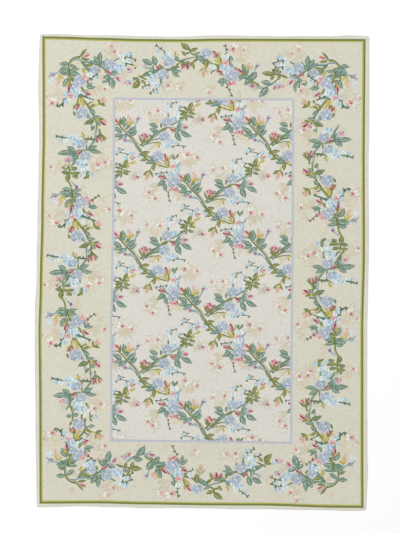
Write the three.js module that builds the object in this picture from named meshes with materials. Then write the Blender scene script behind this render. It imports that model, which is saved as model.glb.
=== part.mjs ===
// A flat, hand-woven wool rug of the aubusson kind, lying on the floor. Millimetres, +Z up.
// The rug is woven in one piece, so it is one closed body: a thin flat sheet with a flat underside,
// a low corded selvedge all round and slightly wandering edges. Its coloured flowers are not raised.
// +Y runs along the rug's length and +X across it. The origin is on the floor, in the middle of its box.

import * as THREE from "three";

// Driving dimensions
const WIDTH = 1674;
const LENGTH = 2384;
const THICKNESS = 3;
const CORNER_RADIUS = 9;
const TIGHTEST_RADIUS = 2;
const SIDE_STEP = 36;
const CORNER_STEPS = 4;

const HALF_WIDTH = WIDTH / 2;
const HALF_LENGTH = LENGTH / 2;
const QUARTER_TURN = Math.PI / 2;

// How far each edge stands outside the true rectangle, at places along that edge.
const RIGHT_EDGE = [
  { along: -1200, out: -10 },
  { along: -1135, out: -7 },
  { along: -1014, out: -2 },
  { along: -892, out: -4 },
  { along: -771, out: -4 },
  { along: -649, out: -6 },
  { along: -285, out: -5 },
  { along: -164, out: -2 },
  { along: -42, out: 0 },
  { along: 79, out: 3 },
  { along: 201, out: 4 },
  { along: 444, out: 2 },
  { along: 565, out: 2 },
  { along: 686, out: 5 },
  { along: 929, out: 6 },
  { along: 1200, out: 6 },
];
const LEFT_EDGE = [
  { along: -1200, out: 1 },
  { along: -1014, out: 5 },
  { along: -771, out: 8 },
  { along: -407, out: 12 },
  { along: -285, out: 12 },
  { along: -164, out: 11 },
  { along: -42, out: 3 },
  { along: 79, out: 3 },
  { along: 201, out: -1 },
  { along: 322, out: -2 },
  { along: 444, out: -6 },
  { along: 565, out: -7 },
  { along: 686, out: -10 },
  { along: 808, out: -8 },
  { along: 929, out: -4 },
  { along: 1051, out: -8 },
  { along: 1200, out: -13 },
];
const TOP_EDGE = [
  { along: -837, out: 10 },
  { along: -717, out: 12 },
  { along: -636, out: 8 },
  { along: -555, out: 5 },
  { along: -474, out: 6 },
  { along: -312, out: 2 },
  { along: -150, out: -2 },
  { along: -69, out: 0 },
  { along: 12, out: 4 },
  { along: 93, out: 5 },
  { along: 174, out: 4 },
  { along: 255, out: 2 },
  { along: 335, out: 2 },
  { along: 416, out: 0 },
  { along: 497, out: 2 },
  { along: 578, out: 1 },
  { along: 659, out: 1 },
  { along: 740, out: 5 },
  { along: 837, out: 1 },
];
const BOTTOM_EDGE = [
  { along: -837, out: -2 },
  { along: -717, out: -5 },
  { along: -636, out: -8 },
  { along: -555, out: -6 },
  { along: -474, out: -3 },
  { along: -393, out: -3 },
  { along: -312, out: 2 },
  { along: -150, out: 1 },
  { along: 12, out: 3 },
  { along: 174, out: 7 },
  { along: 335, out: 7 },
  { along: 416, out: 10 },
  { along: 578, out: 11 },
  { along: 659, out: 13 },
  { along: 740, out: 16 },
  { along: 837, out: 14 },
];

// The section of the edge, from the underside, round the selvedge cord, over its groove to the flat top.
const EDGE_SECTION = [
  { inset: 1.6, height: 0 },
  { inset: 0.2, height: 0.9 },
  { inset: 0, height: 1.8 },
  { inset: 0.8, height: 2.9 },
  { inset: 3, height: 3.4 },
  { inset: 5.2, height: 3.1 },
  { inset: 6.6, height: 2.5 },
  { inset: 8, height: 2.8 },
  { inset: 10, height: 3.2 },
  { inset: 12.5, height: THICKNESS },
];

// Reads a table of edge offsets at a place along the edge, easing from each row to the next.
function edgeOffset(table, along) {
  const last = table.length - 1;
  if (along <= table[0].along) {
    return table[0].out;
  }
  if (along >= table[last].along) {
    return table[last].out;
  }
  const next = table.findIndex((row) => row.along > along);
  const before = table[next - 1];
  const after = table[next];
  const share = THREE.MathUtils.smoothstep(along, before.along, after.along);
  return THREE.MathUtils.lerp(before.out, after.out, share);
}

function rightOf(y) {
  return HALF_WIDTH + edgeOffset(RIGHT_EDGE, y);
}

function leftOf(y) {
  return -HALF_WIDTH - edgeOffset(LEFT_EDGE, y);
}

function topOf(x) {
  return HALF_LENGTH + edgeOffset(TOP_EDGE, x);
}

function bottomOf(x) {
  return -HALF_LENGTH - edgeOffset(BOTTOM_EDGE, x);
}

// The four corners, counter-clockwise from the lower right, each with the turn at which its arc starts.
function corners() {
  return [
    { x: rightOf(-HALF_LENGTH), y: bottomOf(HALF_WIDTH), sideX: 1, sideY: -1, start: -QUARTER_TURN },
    { x: rightOf(HALF_LENGTH), y: topOf(HALF_WIDTH), sideX: 1, sideY: 1, start: 0 },
    { x: leftOf(HALF_LENGTH), y: topOf(-HALF_WIDTH), sideX: -1, sideY: 1, start: QUARTER_TURN },
    { x: leftOf(-HALF_LENGTH), y: bottomOf(-HALF_WIDTH), sideX: -1, sideY: -1, start: 2 * QUARTER_TURN },
  ];
}

// A small quarter arc round one corner.
function cornerArc(corner, inset) {
  const radius = Math.max(CORNER_RADIUS - inset, TIGHTEST_RADIUS);
  const centreX = corner.x - corner.sideX * (inset + radius);
  const centreY = corner.y - corner.sideY * (inset + radius);
  const points = [];
  for (let step = 0; step <= CORNER_STEPS; step += 1) {
    const angle = corner.start + (QUARTER_TURN * step) / CORNER_STEPS;
    const x = centreX + radius * Math.cos(angle);
    const y = centreY + radius * Math.sin(angle);
    points.push(new THREE.Vector2(x, y));
  }
  return points;
}

// The places between two corners at which an edge gets a point.
function placesBetween(from, to) {
  const clear = 2 * CORNER_RADIUS;
  const start = from + Math.sign(to - from) * clear;
  const end = to - Math.sign(to - from) * clear;
  const count = Math.round(Math.abs(end - start) / SIDE_STEP);
  const places = [];
  for (let step = 0; step <= count; step += 1) {
    places.push(THREE.MathUtils.lerp(start, end, step / count));
  }
  return places;
}

// The rug's outline drawn in by an inset, counter-clockwise, with the same number of points for any inset.
function outline(inset) {
  const [lowerRight, upperRight, upperLeft, lowerLeft] = corners();
  const rising = placesBetween(lowerRight.y, upperRight.y);
  const falling = placesBetween(upperLeft.y, lowerLeft.y);
  const backward = placesBetween(upperRight.x, upperLeft.x);
  const forward = placesBetween(lowerLeft.x, lowerRight.x);
  return [
    ...cornerArc(lowerRight, inset),
    ...rising.map((y) => new THREE.Vector2(rightOf(y) - inset, y)),
    ...cornerArc(upperRight, inset),
    ...backward.map((x) => new THREE.Vector2(x, topOf(x) - inset)),
    ...cornerArc(upperLeft, inset),
    ...falling.map((y) => new THREE.Vector2(leftOf(y) + inset, y)),
    ...cornerArc(lowerLeft, inset),
    ...forward.map((x) => new THREE.Vector2(x, bottomOf(x) + inset)),
  ];
}

// Joins each ring of the edge section to the next, then closes the underside and the top with flat faces.
function rugGeometry() {
  const rings = EDGE_SECTION.map((row) => outline(row.inset));
  const ringSize = rings[0].length;
  const positions = [];
  rings.forEach((ring, level) => {
    ring.forEach((point) => positions.push(point.x, point.y, EDGE_SECTION[level].height));
  });
  const faces = [];
  for (let level = 0; level < rings.length - 1; level += 1) {
    for (let step = 0; step < ringSize; step += 1) {
      const next = (step + 1) % ringSize;
      const here = level * ringSize;
      const above = here + ringSize;
      faces.push(here + step, here + next, above + next);
      faces.push(here + step, above + next, above + step);
    }
  }
  const topStart = (rings.length - 1) * ringSize;
  THREE.ShapeUtils.triangulateShape(rings[0], []).forEach(([a, b, c]) => faces.push(a, c, b));
  THREE.ShapeUtils.triangulateShape(rings[rings.length - 1], []).forEach(([a, b, c]) => {
    faces.push(topStart + a, topStart + b, topStart + c);
  });
  const geometry = new THREE.BufferGeometry();
  geometry.setAttribute("position", new THREE.Float32BufferAttribute(positions, 3));
  geometry.setIndex(faces);
  geometry.computeVertexNormals();
  return geometry;
}

// Moves the flat shape so that the origin is in the middle of its box, on the floor.
function centreOnFloor(geometry) {
  geometry.computeBoundingBox();
  const middle = geometry.boundingBox.getCenter(new THREE.Vector3());
  geometry.translate(-middle.x, -middle.y, -geometry.boundingBox.min.z);
}

function wovenRug() {
  const geometry = rugGeometry();
  centreOnFloor(geometry);
  const wool = new THREE.MeshStandardMaterial({ color: "#dfdccb", roughness: 0.95, metalness: 0 });
  const rug = new THREE.Mesh(geometry, wool);
  rug.name = "rug";
  return rug;
}

const rugModel = new THREE.Group();
rugModel.add(wovenRug());

export default rugModel;
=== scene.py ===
"""A flat, hand-woven wool rug: a rose trellis, a lavender frame, a garland border and a green guard line.

The design is charted, as a weaver's cartoon is. Places on a chart are counted in chart squares,
to the right and down, and every motif is drawn by its own class from a few such places.
"""

import logging
import math
import random
from abc import ABC, abstractmethod
from dataclasses import dataclass, field
from enum import Enum

import bpy
import numpy as np
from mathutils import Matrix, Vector
from mathutils.bvhtree import BVHTree
from mathutils.geometry import delaunay_2d_cdt

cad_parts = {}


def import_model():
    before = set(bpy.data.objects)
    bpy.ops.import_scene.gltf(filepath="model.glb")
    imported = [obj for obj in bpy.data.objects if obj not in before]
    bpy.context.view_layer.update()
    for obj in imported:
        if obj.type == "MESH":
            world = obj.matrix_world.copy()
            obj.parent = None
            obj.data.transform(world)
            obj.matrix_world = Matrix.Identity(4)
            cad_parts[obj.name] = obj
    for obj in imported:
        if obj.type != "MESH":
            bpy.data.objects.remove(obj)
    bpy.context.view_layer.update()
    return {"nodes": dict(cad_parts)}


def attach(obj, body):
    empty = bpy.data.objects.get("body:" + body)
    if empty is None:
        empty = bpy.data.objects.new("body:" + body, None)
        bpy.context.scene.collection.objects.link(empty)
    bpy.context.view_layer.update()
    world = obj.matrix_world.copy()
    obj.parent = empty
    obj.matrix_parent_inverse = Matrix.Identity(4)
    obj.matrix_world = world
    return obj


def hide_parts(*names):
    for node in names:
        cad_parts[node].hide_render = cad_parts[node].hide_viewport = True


Point = tuple[float, float]
Outline = list[Point]

SQUARE = 0.00506
CHART_MIDDLE = (-0.4, -0.45)
RIB = 0.0028
EDGE_RIB = 0.0011
EDGE_RELIEF = 0.0002
LOG = logging.getLogger("rug")

FIFTH_TURN = 72
THIRD_TURN = 120


class Yarn(Enum):
    """The dyed wools, each as red, green and blue on a scale of 255."""

    MARGIN = (219, 216, 202)
    BORDER = (211, 208, 191)
    FIELD = (215, 212, 203)
    GUARD_DARK = (117, 127, 66)
    GUARD_LIGHT = (184, 180, 98)
    FRAME = (186, 189, 197)
    TEAL = (123, 148, 133)
    TEAL_DEEP = (82, 109, 91)
    TEAL_PALE = (164, 181, 165)
    OLIVE = (128, 136, 80)
    OLIVE_DEEP = (90, 99, 56)
    OLIVE_PALE = (168, 174, 118)
    GOLD = (194, 180, 98)
    GOLD_DEEP = (164, 150, 62)
    GOLD_PALE = (214, 202, 136)
    MIST = (156, 173, 172)
    MIST_DEEP = (124, 144, 146)
    MIST_PALE = (184, 198, 198)
    SAND = (208, 200, 178)
    SAND_DEEP = (198, 188, 160)
    SAND_PALE = (214, 206, 188)
    ROSE = (168, 183, 196)
    ROSE_LILAC = (187, 189, 196)
    ROSE_DEEP = (144, 161, 177)
    ROSE_PALE = (206, 211, 210)
    SKY = (156, 188, 206)
    SKY_PALE = (194, 210, 214)
    WHITE = (223, 225, 218)
    PINK = (208, 162, 160)
    PINK_PALE = (218, 194, 186)
    RED = (182, 102, 106)
    MAGENTA = (146, 66, 92)
    PEACH = (214, 178, 144)
    LILAC = (193, 188, 200)

    def linear(self) -> np.ndarray:
        """Works the colour out as linear light, by the sRGB curve.

        Returns:
            Its red, green and blue between 0 and 1, and full alpha.
        """
        share = np.array(self.value, float) / 255.0
        light = np.where(share <= 0.04045, share / 12.92, ((share + 0.055) / 1.055) ** 2.4)
        return np.append(light, 1.0)


@dataclass(frozen=True)
class LeafDye:
    """The three wools of a leaf or stem: its body, its shaded part and its vein."""

    body: Yarn
    shade: Yarn
    vein: Yarn


@dataclass(frozen=True)
class BudDye:
    """The wools of a bud: its outer petals, its heart, the light on it, and the dye of its sepals."""

    petal: Yarn
    heart: Yarn
    light: Yarn
    sepals: LeafDye


@dataclass(frozen=True)
class StarDye:
    """The wools of a small open flower: its petals by turns, and its eye."""

    petal: Yarn
    other: Yarn
    eye: Yarn


TEAL = LeafDye(Yarn.TEAL, Yarn.TEAL_DEEP, Yarn.TEAL_PALE)
OLIVE = LeafDye(Yarn.OLIVE, Yarn.OLIVE_DEEP, Yarn.OLIVE_PALE)
MOSS = LeafDye(Yarn.OLIVE, Yarn.TEAL_DEEP, Yarn.TEAL)
GOLD = LeafDye(Yarn.GOLD, Yarn.GOLD_DEEP, Yarn.GOLD_PALE)
MIST = LeafDye(Yarn.MIST, Yarn.MIST_DEEP, Yarn.MIST_PALE)
SAND = LeafDye(Yarn.SAND, Yarn.SAND_DEEP, Yarn.SAND_PALE)

PINK = BudDye(Yarn.PINK, Yarn.RED, Yarn.PINK_PALE, OLIVE)
RED = BudDye(Yarn.RED, Yarn.MAGENTA, Yarn.PINK, OLIVE)
MAGENTA = BudDye(Yarn.MAGENTA, Yarn.RED, Yarn.PINK, OLIVE)
LILAC = BudDye(Yarn.LILAC, Yarn.RED, Yarn.PINK, MIST)
PEACH = BudDye(Yarn.PEACH, Yarn.PINK, Yarn.GOLD, OLIVE)
YELLOW = BudDye(Yarn.GOLD, Yarn.GOLD_DEEP, Yarn.GOLD_PALE, OLIVE)
BLUSH = BudDye(Yarn.PINK, Yarn.PINK_PALE, Yarn.GOLD, GOLD)

SKY = StarDye(Yarn.SKY, Yarn.SKY_PALE, Yarn.WHITE)
SNOW = StarDye(Yarn.WHITE, Yarn.SKY_PALE, Yarn.SKY)
ROSY = StarDye(Yarn.PINK, Yarn.PINK_PALE, Yarn.RED)
RUBY = StarDye(Yarn.RED, Yarn.PINK, Yarn.PINK_PALE)


@dataclass(frozen=True)
class Patch:
    """An area woven in one wool: its outline in chart squares."""

    outline: Outline
    yarn: Yarn


def polar(centre: Point, reach: float, turn: float) -> Point:
    """Returns the point at a distance and a direction, in degrees, from a centre."""
    return centre[0] + reach * math.cos(math.radians(turn)), centre[1] + reach * math.sin(math.radians(turn))


def length_and_lean(start: Point, end: Point) -> tuple[float, float]:
    """Returns how far one point is from another, and in which direction, in degrees."""
    (x0, y0), (x1, y1) = start, end
    return math.hypot(x1 - x0, y1 - y0), math.degrees(math.atan2(y1 - y0, x1 - x0))


@dataclass(frozen=True)
class Petal:
    """An oval part of a flower, in shares of the flower's size and in degrees from its direction."""

    out: float
    long: float
    short: float
    corners: int
    aside: float = 0
    turned: float = 0

    def patch(
        self, centre: Point, size: float, turn: float, yarn: Yarn, length: float | None = None, side: int = 1
    ) -> Patch:
        """Draws the part.

        Args:
            centre: The flower's middle.
            size: What the part's shares are taken of.
            turn: The flower's direction there.
            yarn: The part's wool.
            length: What the share of its length is taken of, where that differs.
            side: The side that it leans to, 1 or -1.

        Returns:
            The part's patch.
        """
        middle = polar(centre, size * self.out, turn + side * self.aside)
        long, short = self.long * (length or size), self.short * size
        lean = math.radians(turn + side * self.turned)
        along, across = math.cos(lean), math.sin(lean)
        points = []
        for step in range(self.corners):
            angle = math.tau * (step + 0.5) / self.corners
            reach, rise = long * math.cos(angle), short * math.sin(angle)
            points.append((
                middle[0] + reach * along - rise * across,
                middle[1] + reach * across + rise * along,
            ))
        return Patch(points, yarn)


def between(a: float, b: float, c: float, d: float, t: float) -> float:
    """Returns the value a share of the way from b to c, on the smooth curve through all four."""
    bend, swing = 2 * a - 5 * b + 4 * c - d, 3 * b - a - 3 * c + d
    return 0.5 * (2 * b + (c - a) * t + bend * t * t + swing * t ** 3)


def smooth_path(points: tuple[Point, ...], spans: int = 3) -> Outline:
    """Eases a line of a few points into a curve through them.

    Args:
        points: The points that the curve passes.
        spans: How many steps it takes from each point to the next.

    Returns:
        The points of the curve.
    """
    knots = [points[0], *points, points[-1]]
    curve = []
    for around in zip(knots, knots[1:], knots[2:], knots[3:]):
        for step in range(spans):
            curve.append(tuple(between(*values, step / spans) for values in zip(*around)))
    curve.append(points[-1])
    return curve


def normals(path: Outline) -> Outline:
    """Finds the direction across a path at each of its points.

    Args:
        path: The points of the path.

    Returns:
        The directions, each one unit long.
    """
    crossings = []
    last = len(path) - 1
    for index in range(last + 1):
        (x0, y0), (x1, y1) = path[max(index - 1, 0)], path[min(index + 1, last)]
        length = math.hypot(x1 - x0, y1 - y0) or 1.0
        crossings.append((-(y1 - y0) / length, (x1 - x0) / length))
    return crossings


def band(path: Outline, widths: list[float], left: float = 1.0, right: float = 1.0) -> Outline:
    """Gives a path a width on either side.

    Args:
        path: The line to widen.
        widths: The width at each of its points.
        left: The share of half the width on the one side.
        right: The share of half the width on the other side.

    Returns:
        The band's closed outline.
    """
    sides = list(zip(path, normals(path), widths))
    one = [(x + nx * w / 2 * left, y + ny * w / 2 * left) for (x, y), (nx, ny), w in sides]
    other = [(x - nx * w / 2 * right, y - ny * w / 2 * right) for (x, y), (nx, ny), w in sides]
    return one + other[::-1]


class Motif(ABC):
    """Something that a chart places: it draws itself as patches."""

    @abstractmethod
    def patches(self, hand: random.Random) -> list[Patch]:
        """Draws the motif.

        Args:
            hand: Makes each copy a little different, as handwork is.

        Returns:
            The patches, the lowest first.
        """


@dataclass(frozen=True)
class Stem(Motif):
    """A stem along a curve. A wider one is shaded along one side, and the widest have a pale line too."""

    path: tuple[Point, ...]
    width: float
    dye: LeafDye = TEAL
    slimming = 0.4
    unevenness = (0.86, 1.14)
    shaded_from = 1.15
    shaded_side = (1.0, -0.2)
    lined_from = 1.9
    pale_line = (0.1, 0.56)

    def patches(self, hand: random.Random) -> list[Patch]:
        """Draws the stem's body, its shaded side and its pale line.

        Args:
            hand: Makes each copy a little different.

        Returns:
            The patches, the lowest first.
        """
        curve = smooth_path(self.path)
        last = len(curve) - 1
        taper = [1.0 - self.slimming * (index / last) ** 3 for index in range(last + 1)]
        widths = [self.width * share * hand.uniform(*self.unevenness) for share in taper]
        stem = [Patch(band(curve, widths), self.dye.body)]
        if self.width > self.shaded_from:
            stem.append(Patch(band(curve[:-1], widths[:-1], *self.shaded_side), self.dye.shade))
        if self.width > self.lined_from:
            stem.append(Patch(band(curve[1:-1], widths[1:-1], *self.pale_line), self.dye.vein))
        return stem


@dataclass(frozen=True)
class Leaf(Motif):
    """A pointed leaf from its foot to its tip. A wider one has a shaded rim, then a vein, then ribs."""

    foot: Point
    tip: Point
    width: float
    dye: LeafDye = TEAL
    stations = (0.0, 0.14, 0.34, 0.54, 0.74, 0.9, 1.0)
    fullness = (0.12, 0.62, 0.98, 1.0, 0.74, 0.36, 0.04)
    bending = (-0.07, 0.12)
    unevenness = (0.9, 1.1)
    rimmed_from = 1.7
    inside_rim = (0.64, 0.74)
    veined_from = 2.7
    vein = (0.56, -0.12)
    ribbed_from = 3.9
    rib_stations = ((1, 1), (2, -1), (3, 1))
    rib_turn = 48
    rib_length = 0.34
    rib_widths = (0.12, 0.05)

    def patches(self, hand: random.Random) -> list[Patch]:
        """Draws the leaf's rim, its body inside it, its vein and its ribs.

        Args:
            hand: Makes each copy a little different.

        Returns:
            The patches, the lowest first.
        """
        (x0, y0), (x1, y1) = self.foot, self.tip
        length, lean = length_and_lean(self.foot, self.tip)
        bend = hand.uniform(*self.bending) * length
        across = (-(y1 - y0) / length, (x1 - x0) / length)
        spine = []
        for share in self.stations:
            sag = 4 * share * (1 - share) * bend
            spine.append((x0 + (x1 - x0) * share + across[0] * sag, y0 + (y1 - y0) * share + across[1] * sag))
        widths = [self.width * full * hand.uniform(*self.unevenness) for full in self.fullness]
        if self.width <= self.rimmed_from:
            return [Patch(band(spine, widths), self.dye.body)]
        leaf = [
            Patch(band(spine, widths), self.dye.shade),
            Patch(band(spine, widths, *self.inside_rim), self.dye.body),
        ]
        if self.width > self.veined_from:
            leaf.append(Patch(band(spine[1:-1], widths[1:-1], *self.vein), self.dye.vein))
        if self.width > self.ribbed_from:
            rib_widths = [self.width * share for share in self.rib_widths]
            for station, side in self.rib_stations:
                end = polar(spine[station], self.width * self.rib_length, lean + side * self.rib_turn)
                leaf.append(Patch(band([spine[station], end], rib_widths), self.dye.shade))
        return leaf


@dataclass(frozen=True)
class Rose(Motif):
    """An open rose: five outer petals, a darker fold between each two, and a turned heart."""

    centre: Point
    radius: float
    loosely = (-12, 12)
    outer_wools = (
        Yarn.ROSE, Yarn.ROSE_LILAC, Yarn.ROSE_DEEP, Yarn.ROSE, Yarn.ROSE_LILAC
    )
    inner_wools = (Yarn.ROSE_LILAC, Yarn.ROSE_PALE, Yarn.ROSE)
    depth = Petal(0, 0.74, 0.68, 10)
    outer = Petal(0.56, 0.5, 0.42, 9, 0, 90)
    light = Petal(0.66, 0.3, 0.13, 6, 12, 96)
    fold_turn = 36
    fold = Petal(0.48, 0.36, 0.09, 6, 0, 60)
    inner_turn = 30
    inner = Petal(0.2, 0.26, 0.16, 7, 0, 80)
    heart = Petal(0.06, 0.17, 0.1, 6, 0, 40)

    def patches(self, hand: random.Random) -> list[Patch]:
        """Draws the petals from the outside in.

        Args:
            hand: Makes each copy a little different.

        Returns:
            The patches, the lowest first.
        """
        here = self.centre, self.radius
        start = hand.uniform(*self.loosely)
        rose = [self.depth.patch(*here, start, Yarn.ROSE_DEEP)]
        for number, wool in enumerate(self.outer_wools):
            turn = start + FIFTH_TURN * number
            rose.append(self.outer.patch(*here, turn, wool))
            rose.append(self.light.patch(*here, turn, Yarn.ROSE_PALE if number % 2 else Yarn.ROSE_LILAC))
        for number in range(len(self.outer_wools)):
            turn = start + FIFTH_TURN * number + self.fold_turn
            rose.append(self.fold.patch(*here, turn, Yarn.ROSE_DEEP))
        for number, wool in enumerate(self.inner_wools):
            rose.append(self.inner.patch(*here, start + THIRD_TURN * number + self.inner_turn, wool))
        rose.append(self.heart.patch(*here, start, Yarn.ROSE_DEEP))
        return rose


@dataclass(frozen=True)
class Bud(Motif):
    """A closed bud from its foot to its tip, cupped by two sepals."""

    foot: Point
    tip: Point
    width: float
    dye: BudDye = PINK
    middle = 0.58
    body = Petal(0, 0.44, 0.46, 9)
    sleeve = Petal(0.2, 0.3, 0.17, 6, 90, 8)
    heart = Petal(0.16, 0.28, 0.24, 7, -70)
    fleck_place = (0.26, 24)
    fleck = Petal(0, 0.13, 0.12, 5)
    sepal_tip = (0.74, 38)
    sepal_bend = (0.4, 46)
    sepal_widths = (0.16, 0.26, 0.04)

    def patches(self, hand: random.Random) -> list[Patch]:
        """Draws the petals, then the sepals that hold them.

        Args:
            hand: Makes each copy a little different.

        Returns:
            The patches, the lowest first.
        """
        length, lean = length_and_lean(self.foot, self.tip)
        middle = polar(self.foot, length * self.middle, lean)
        side = 1 if hand.random() < 0.5 else -1
        fleck = polar(middle, length * self.fleck_place[0], lean + self.fleck_place[1] * side)
        bud = [
            self.body.patch(middle, self.width, lean, self.dye.petal, length),
            self.sleeve.patch(middle, self.width, lean, self.dye.light, length, side),
            self.heart.patch(middle, self.width, lean, self.dye.heart, length, side),
            self.fleck.patch(fleck, self.width, lean, Yarn.PINK_PALE, length),
        ]
        widths = [self.width * share for share in self.sepal_widths]
        for turn in (-1, 1):
            tip = polar(self.foot, length * self.sepal_tip[0], lean + turn * self.sepal_tip[1])
            bend = polar(self.foot, length * self.sepal_bend[0], lean + turn * self.sepal_bend[1])
            bud.append(Patch(band([self.foot, bend, tip], widths), self.dye.sepals.body))
        return bud


@dataclass(frozen=True)
class Trumpet(Motif):
    """A tube flower that widens from its foot to a mouth of three lobes round a throat."""

    foot: Point
    mouth: Point
    width: float
    throat: Yarn = Yarn.RED
    waist = 0.55
    swaying = (-5, 5)
    tube_widths = (0.22, 0.4, 0.9)
    shaded_side = (1.0, -0.2)
    lobes = {-62: Yarn.SKY_PALE, 0: Yarn.LILAC, 62: Yarn.ROSE}
    lobe = Petal(0.5, 0.5, 0.26, 7)
    hollow = Petal(0, 0.3, 0.36, 7)

    def patches(self, hand: random.Random) -> list[Patch]:
        """Draws the tube, its shade, the lobes and the throat.

        Args:
            hand: Makes each copy a little different.

        Returns:
            The patches, the lowest first.
        """
        length, lean = length_and_lean(self.foot, self.mouth)
        waist = polar(self.foot, length * self.waist, lean + hand.uniform(*self.swaying))
        tube = [self.foot, waist, self.mouth]
        widths = [self.width * share for share in self.tube_widths]
        flower = [Patch(band(tube, widths), Yarn.MIST)]
        flower.append(Patch(band(tube, widths, *self.shaded_side), Yarn.ROSE_DEEP))
        for turn, wool in self.lobes.items():
            flower.append(self.lobe.patch(self.mouth, self.width, lean + turn, wool))
        flower.append(self.hollow.patch(self.mouth, self.width, lean, self.throat))
        return flower


@dataclass(frozen=True)
class Star(Motif):
    """A small open flower of five petals round an eye."""

    centre: Point
    radius: float
    dye: StarDye = SKY
    count = 5
    petal = Petal(0.55, 0.52, 0.44, 6)
    eye = Petal(0, 0.24, 0.24, 5)

    def patches(self, hand: random.Random) -> list[Patch]:
        """Draws the petals by turns in two wools, then the eye.

        Args:
            hand: Makes each copy a little different.

        Returns:
            The patches, the lowest first.
        """
        start = hand.uniform(0, FIFTH_TURN)
        flower = []
        for number in range(self.count):
            wool = self.dye.other if number % 2 else self.dye.petal
            flower.append(self.petal.patch(self.centre, self.radius, start + FIFTH_TURN * number, wool))
        flower.append(self.eye.patch(self.centre, self.radius, start, self.dye.eye))
        return flower


@dataclass(frozen=True)
class Sprig(Motif):
    """A thin twig with small leaflets on either side by turns."""

    path: tuple[Point, ...]
    dye: LeafDye = TEAL
    leaflet: float = 2.0
    twig_width = 0.32
    leaning = (-25, 25)
    blade = Petal(0.45, 0.5, 0.27, 6)

    def patches(self, hand: random.Random) -> list[Patch]:
        """Draws the twig and its leaflets.

        Args:
            hand: Makes each copy a little different.

        Returns:
            The patches, the lowest first.
        """
        curve = smooth_path(self.path)
        twig = [Patch(band(curve, [self.leaflet * self.twig_width] * len(curve)), self.dye.shade)]
        sides = normals(curve)
        for number in range(1, len(curve), 2):
            side = 1 if number % 4 == 1 else -1
            nx, ny = sides[number]
            lean = math.degrees(math.atan2(ny * side, nx * side)) + hand.uniform(*self.leaning)
            twig.append(self.blade.patch(curve[number], self.leaflet, lean, self.dye.shade))
        return twig


@dataclass(frozen=True)
class Ghost(Motif):
    """A pale flower like a shadow on the ground: sand stalks and sepals, faint petals and a heart."""

    centre: Point
    radius: float
    heart: Yarn = Yarn.RED
    stalk_turns = (150, 235)
    stalk_bend = 1.2
    stalk_end = (2.0, 34)
    stalk_width = 0.17
    sepal_turns = (0, 120, 200)
    sepal_length = 1.5
    sepal_widths = (0.66, 0.16)
    petals = {
        50: Yarn.PINK_PALE, 120: Yarn.WHITE, 190: Yarn.WHITE, 255: Yarn.PINK_PALE, 315: Yarn.PINK
    }
    petal = Petal(0.55, 0.42, 0.28, 7, 0, 20)
    core = Petal(0.3, 0.32, 0.2, 7, -10)

    def patches(self, hand: random.Random) -> list[Patch]:
        """Draws two bent stalks, the sepals, the petals and the heart.

        Args:
            hand: Makes each copy a little different.

        Returns:
            The patches, the lowest first.
        """
        start = hand.uniform(0, 360)
        flower = []
        for turn in self.stalk_turns:
            bend = polar(self.centre, self.radius * self.stalk_bend, start + turn)
            end = polar(self.centre, self.radius * self.stalk_end[0], start + turn + self.stalk_end[1])
            stalk = smooth_path((self.centre, bend, end), 2)
            flower.append(Patch(band(stalk, [self.radius * self.stalk_width] * len(stalk)), Yarn.SAND_DEEP))
        widths = [self.radius * share for share in self.sepal_widths]
        for turn in self.sepal_turns:
            tip = polar(self.centre, self.radius * self.sepal_length, start + turn)
            flower.append(Patch(band([self.centre, tip], widths), Yarn.SAND_DEEP))
        for turn, wool in self.petals.items():
            flower.append(self.petal.patch(self.centre, self.radius, start + turn, wool))
        flower.append(self.core.patch(self.centre, self.radius, start, self.heart))
        return flower


@dataclass(frozen=True)
class Shade(Motif):
    """A spray of pale leaves that stands behind the flowers like their shadow, fanned out from its foot."""

    foot: Point
    reach: float
    turn: float
    leaves: int
    spread: float
    swaying = (-8, 8)
    leaf_foot = 0.12
    leaf_tips = (0.75, 1.05)
    leaf_widths = (0.2, 0.28)

    def patches(self, hand: random.Random) -> list[Patch]:
        """Draws the leaves from one side of the fan to the other.

        Args:
            hand: Makes each copy a little different.

        Returns:
            The patches, the lowest first.
        """
        spray = []
        for number in range(self.leaves):
            share = number / (self.leaves - 1) - 0.5
            lean = self.turn + self.spread * share + hand.uniform(*self.swaying)
            foot = polar(self.foot, self.reach * self.leaf_foot, lean)
            tip = polar(self.foot, self.reach * hand.uniform(*self.leaf_tips), lean)
            spray += Leaf(foot, tip, self.reach * hand.uniform(*self.leaf_widths), SAND).patches(hand)
        return spray


Row = tuple[float | LeafDye | BudDye | StarDye | Yarn, ...]


def stems(*rows: Row) -> list[Motif]:
    """Returns stems, each row a width, a dye and the places that the stem passes."""
    return [Stem(tuple(zip(row[2::2], row[3::2])), *row[:2]) for row in rows]


def sprigs(*rows: Row) -> list[Motif]:
    """Returns sprigs, each row a leaflet's length, a dye and the places that the twig passes."""
    return [Sprig(tuple(zip(row[2::2], row[3::2])), row[1], row[0]) for row in rows]


def leaves(*rows: Row) -> list[Motif]:
    """Returns leaves, each row a foot, a tip, a width and a dye, which is teal where none is given."""
    return [Leaf(row[:2], row[2:4], *row[4:]) for row in rows]


def buds(*rows: Row) -> list[Motif]:
    """Returns buds, each row a foot, a tip, a width and a dye."""
    return [Bud(row[:2], row[2:4], *row[4:]) for row in rows]


def stars(*rows: Row) -> list[Motif]:
    """Returns small flowers, each row a middle, a radius and a dye, which is sky where none is given."""
    return [Star(row[:2], *row[2:]) for row in rows]


def roses(*rows: Row) -> list[Motif]:
    """Returns roses, each row a middle and a radius."""
    return [Rose(row[:2], *row[2:]) for row in rows]


def ghosts(*rows: Row) -> list[Motif]:
    """Returns ghost flowers, each row a middle, a radius and a heart's wool, red where none is given."""
    return [Ghost(row[:2], *row[2:]) for row in rows]


def shades(*rows: Row) -> list[Motif]:
    """Returns pale sprays, each row a foot, a reach, a direction, the leaves and their spread."""
    return [Shade(row[:2], *row[2:]) for row in rows]


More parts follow.
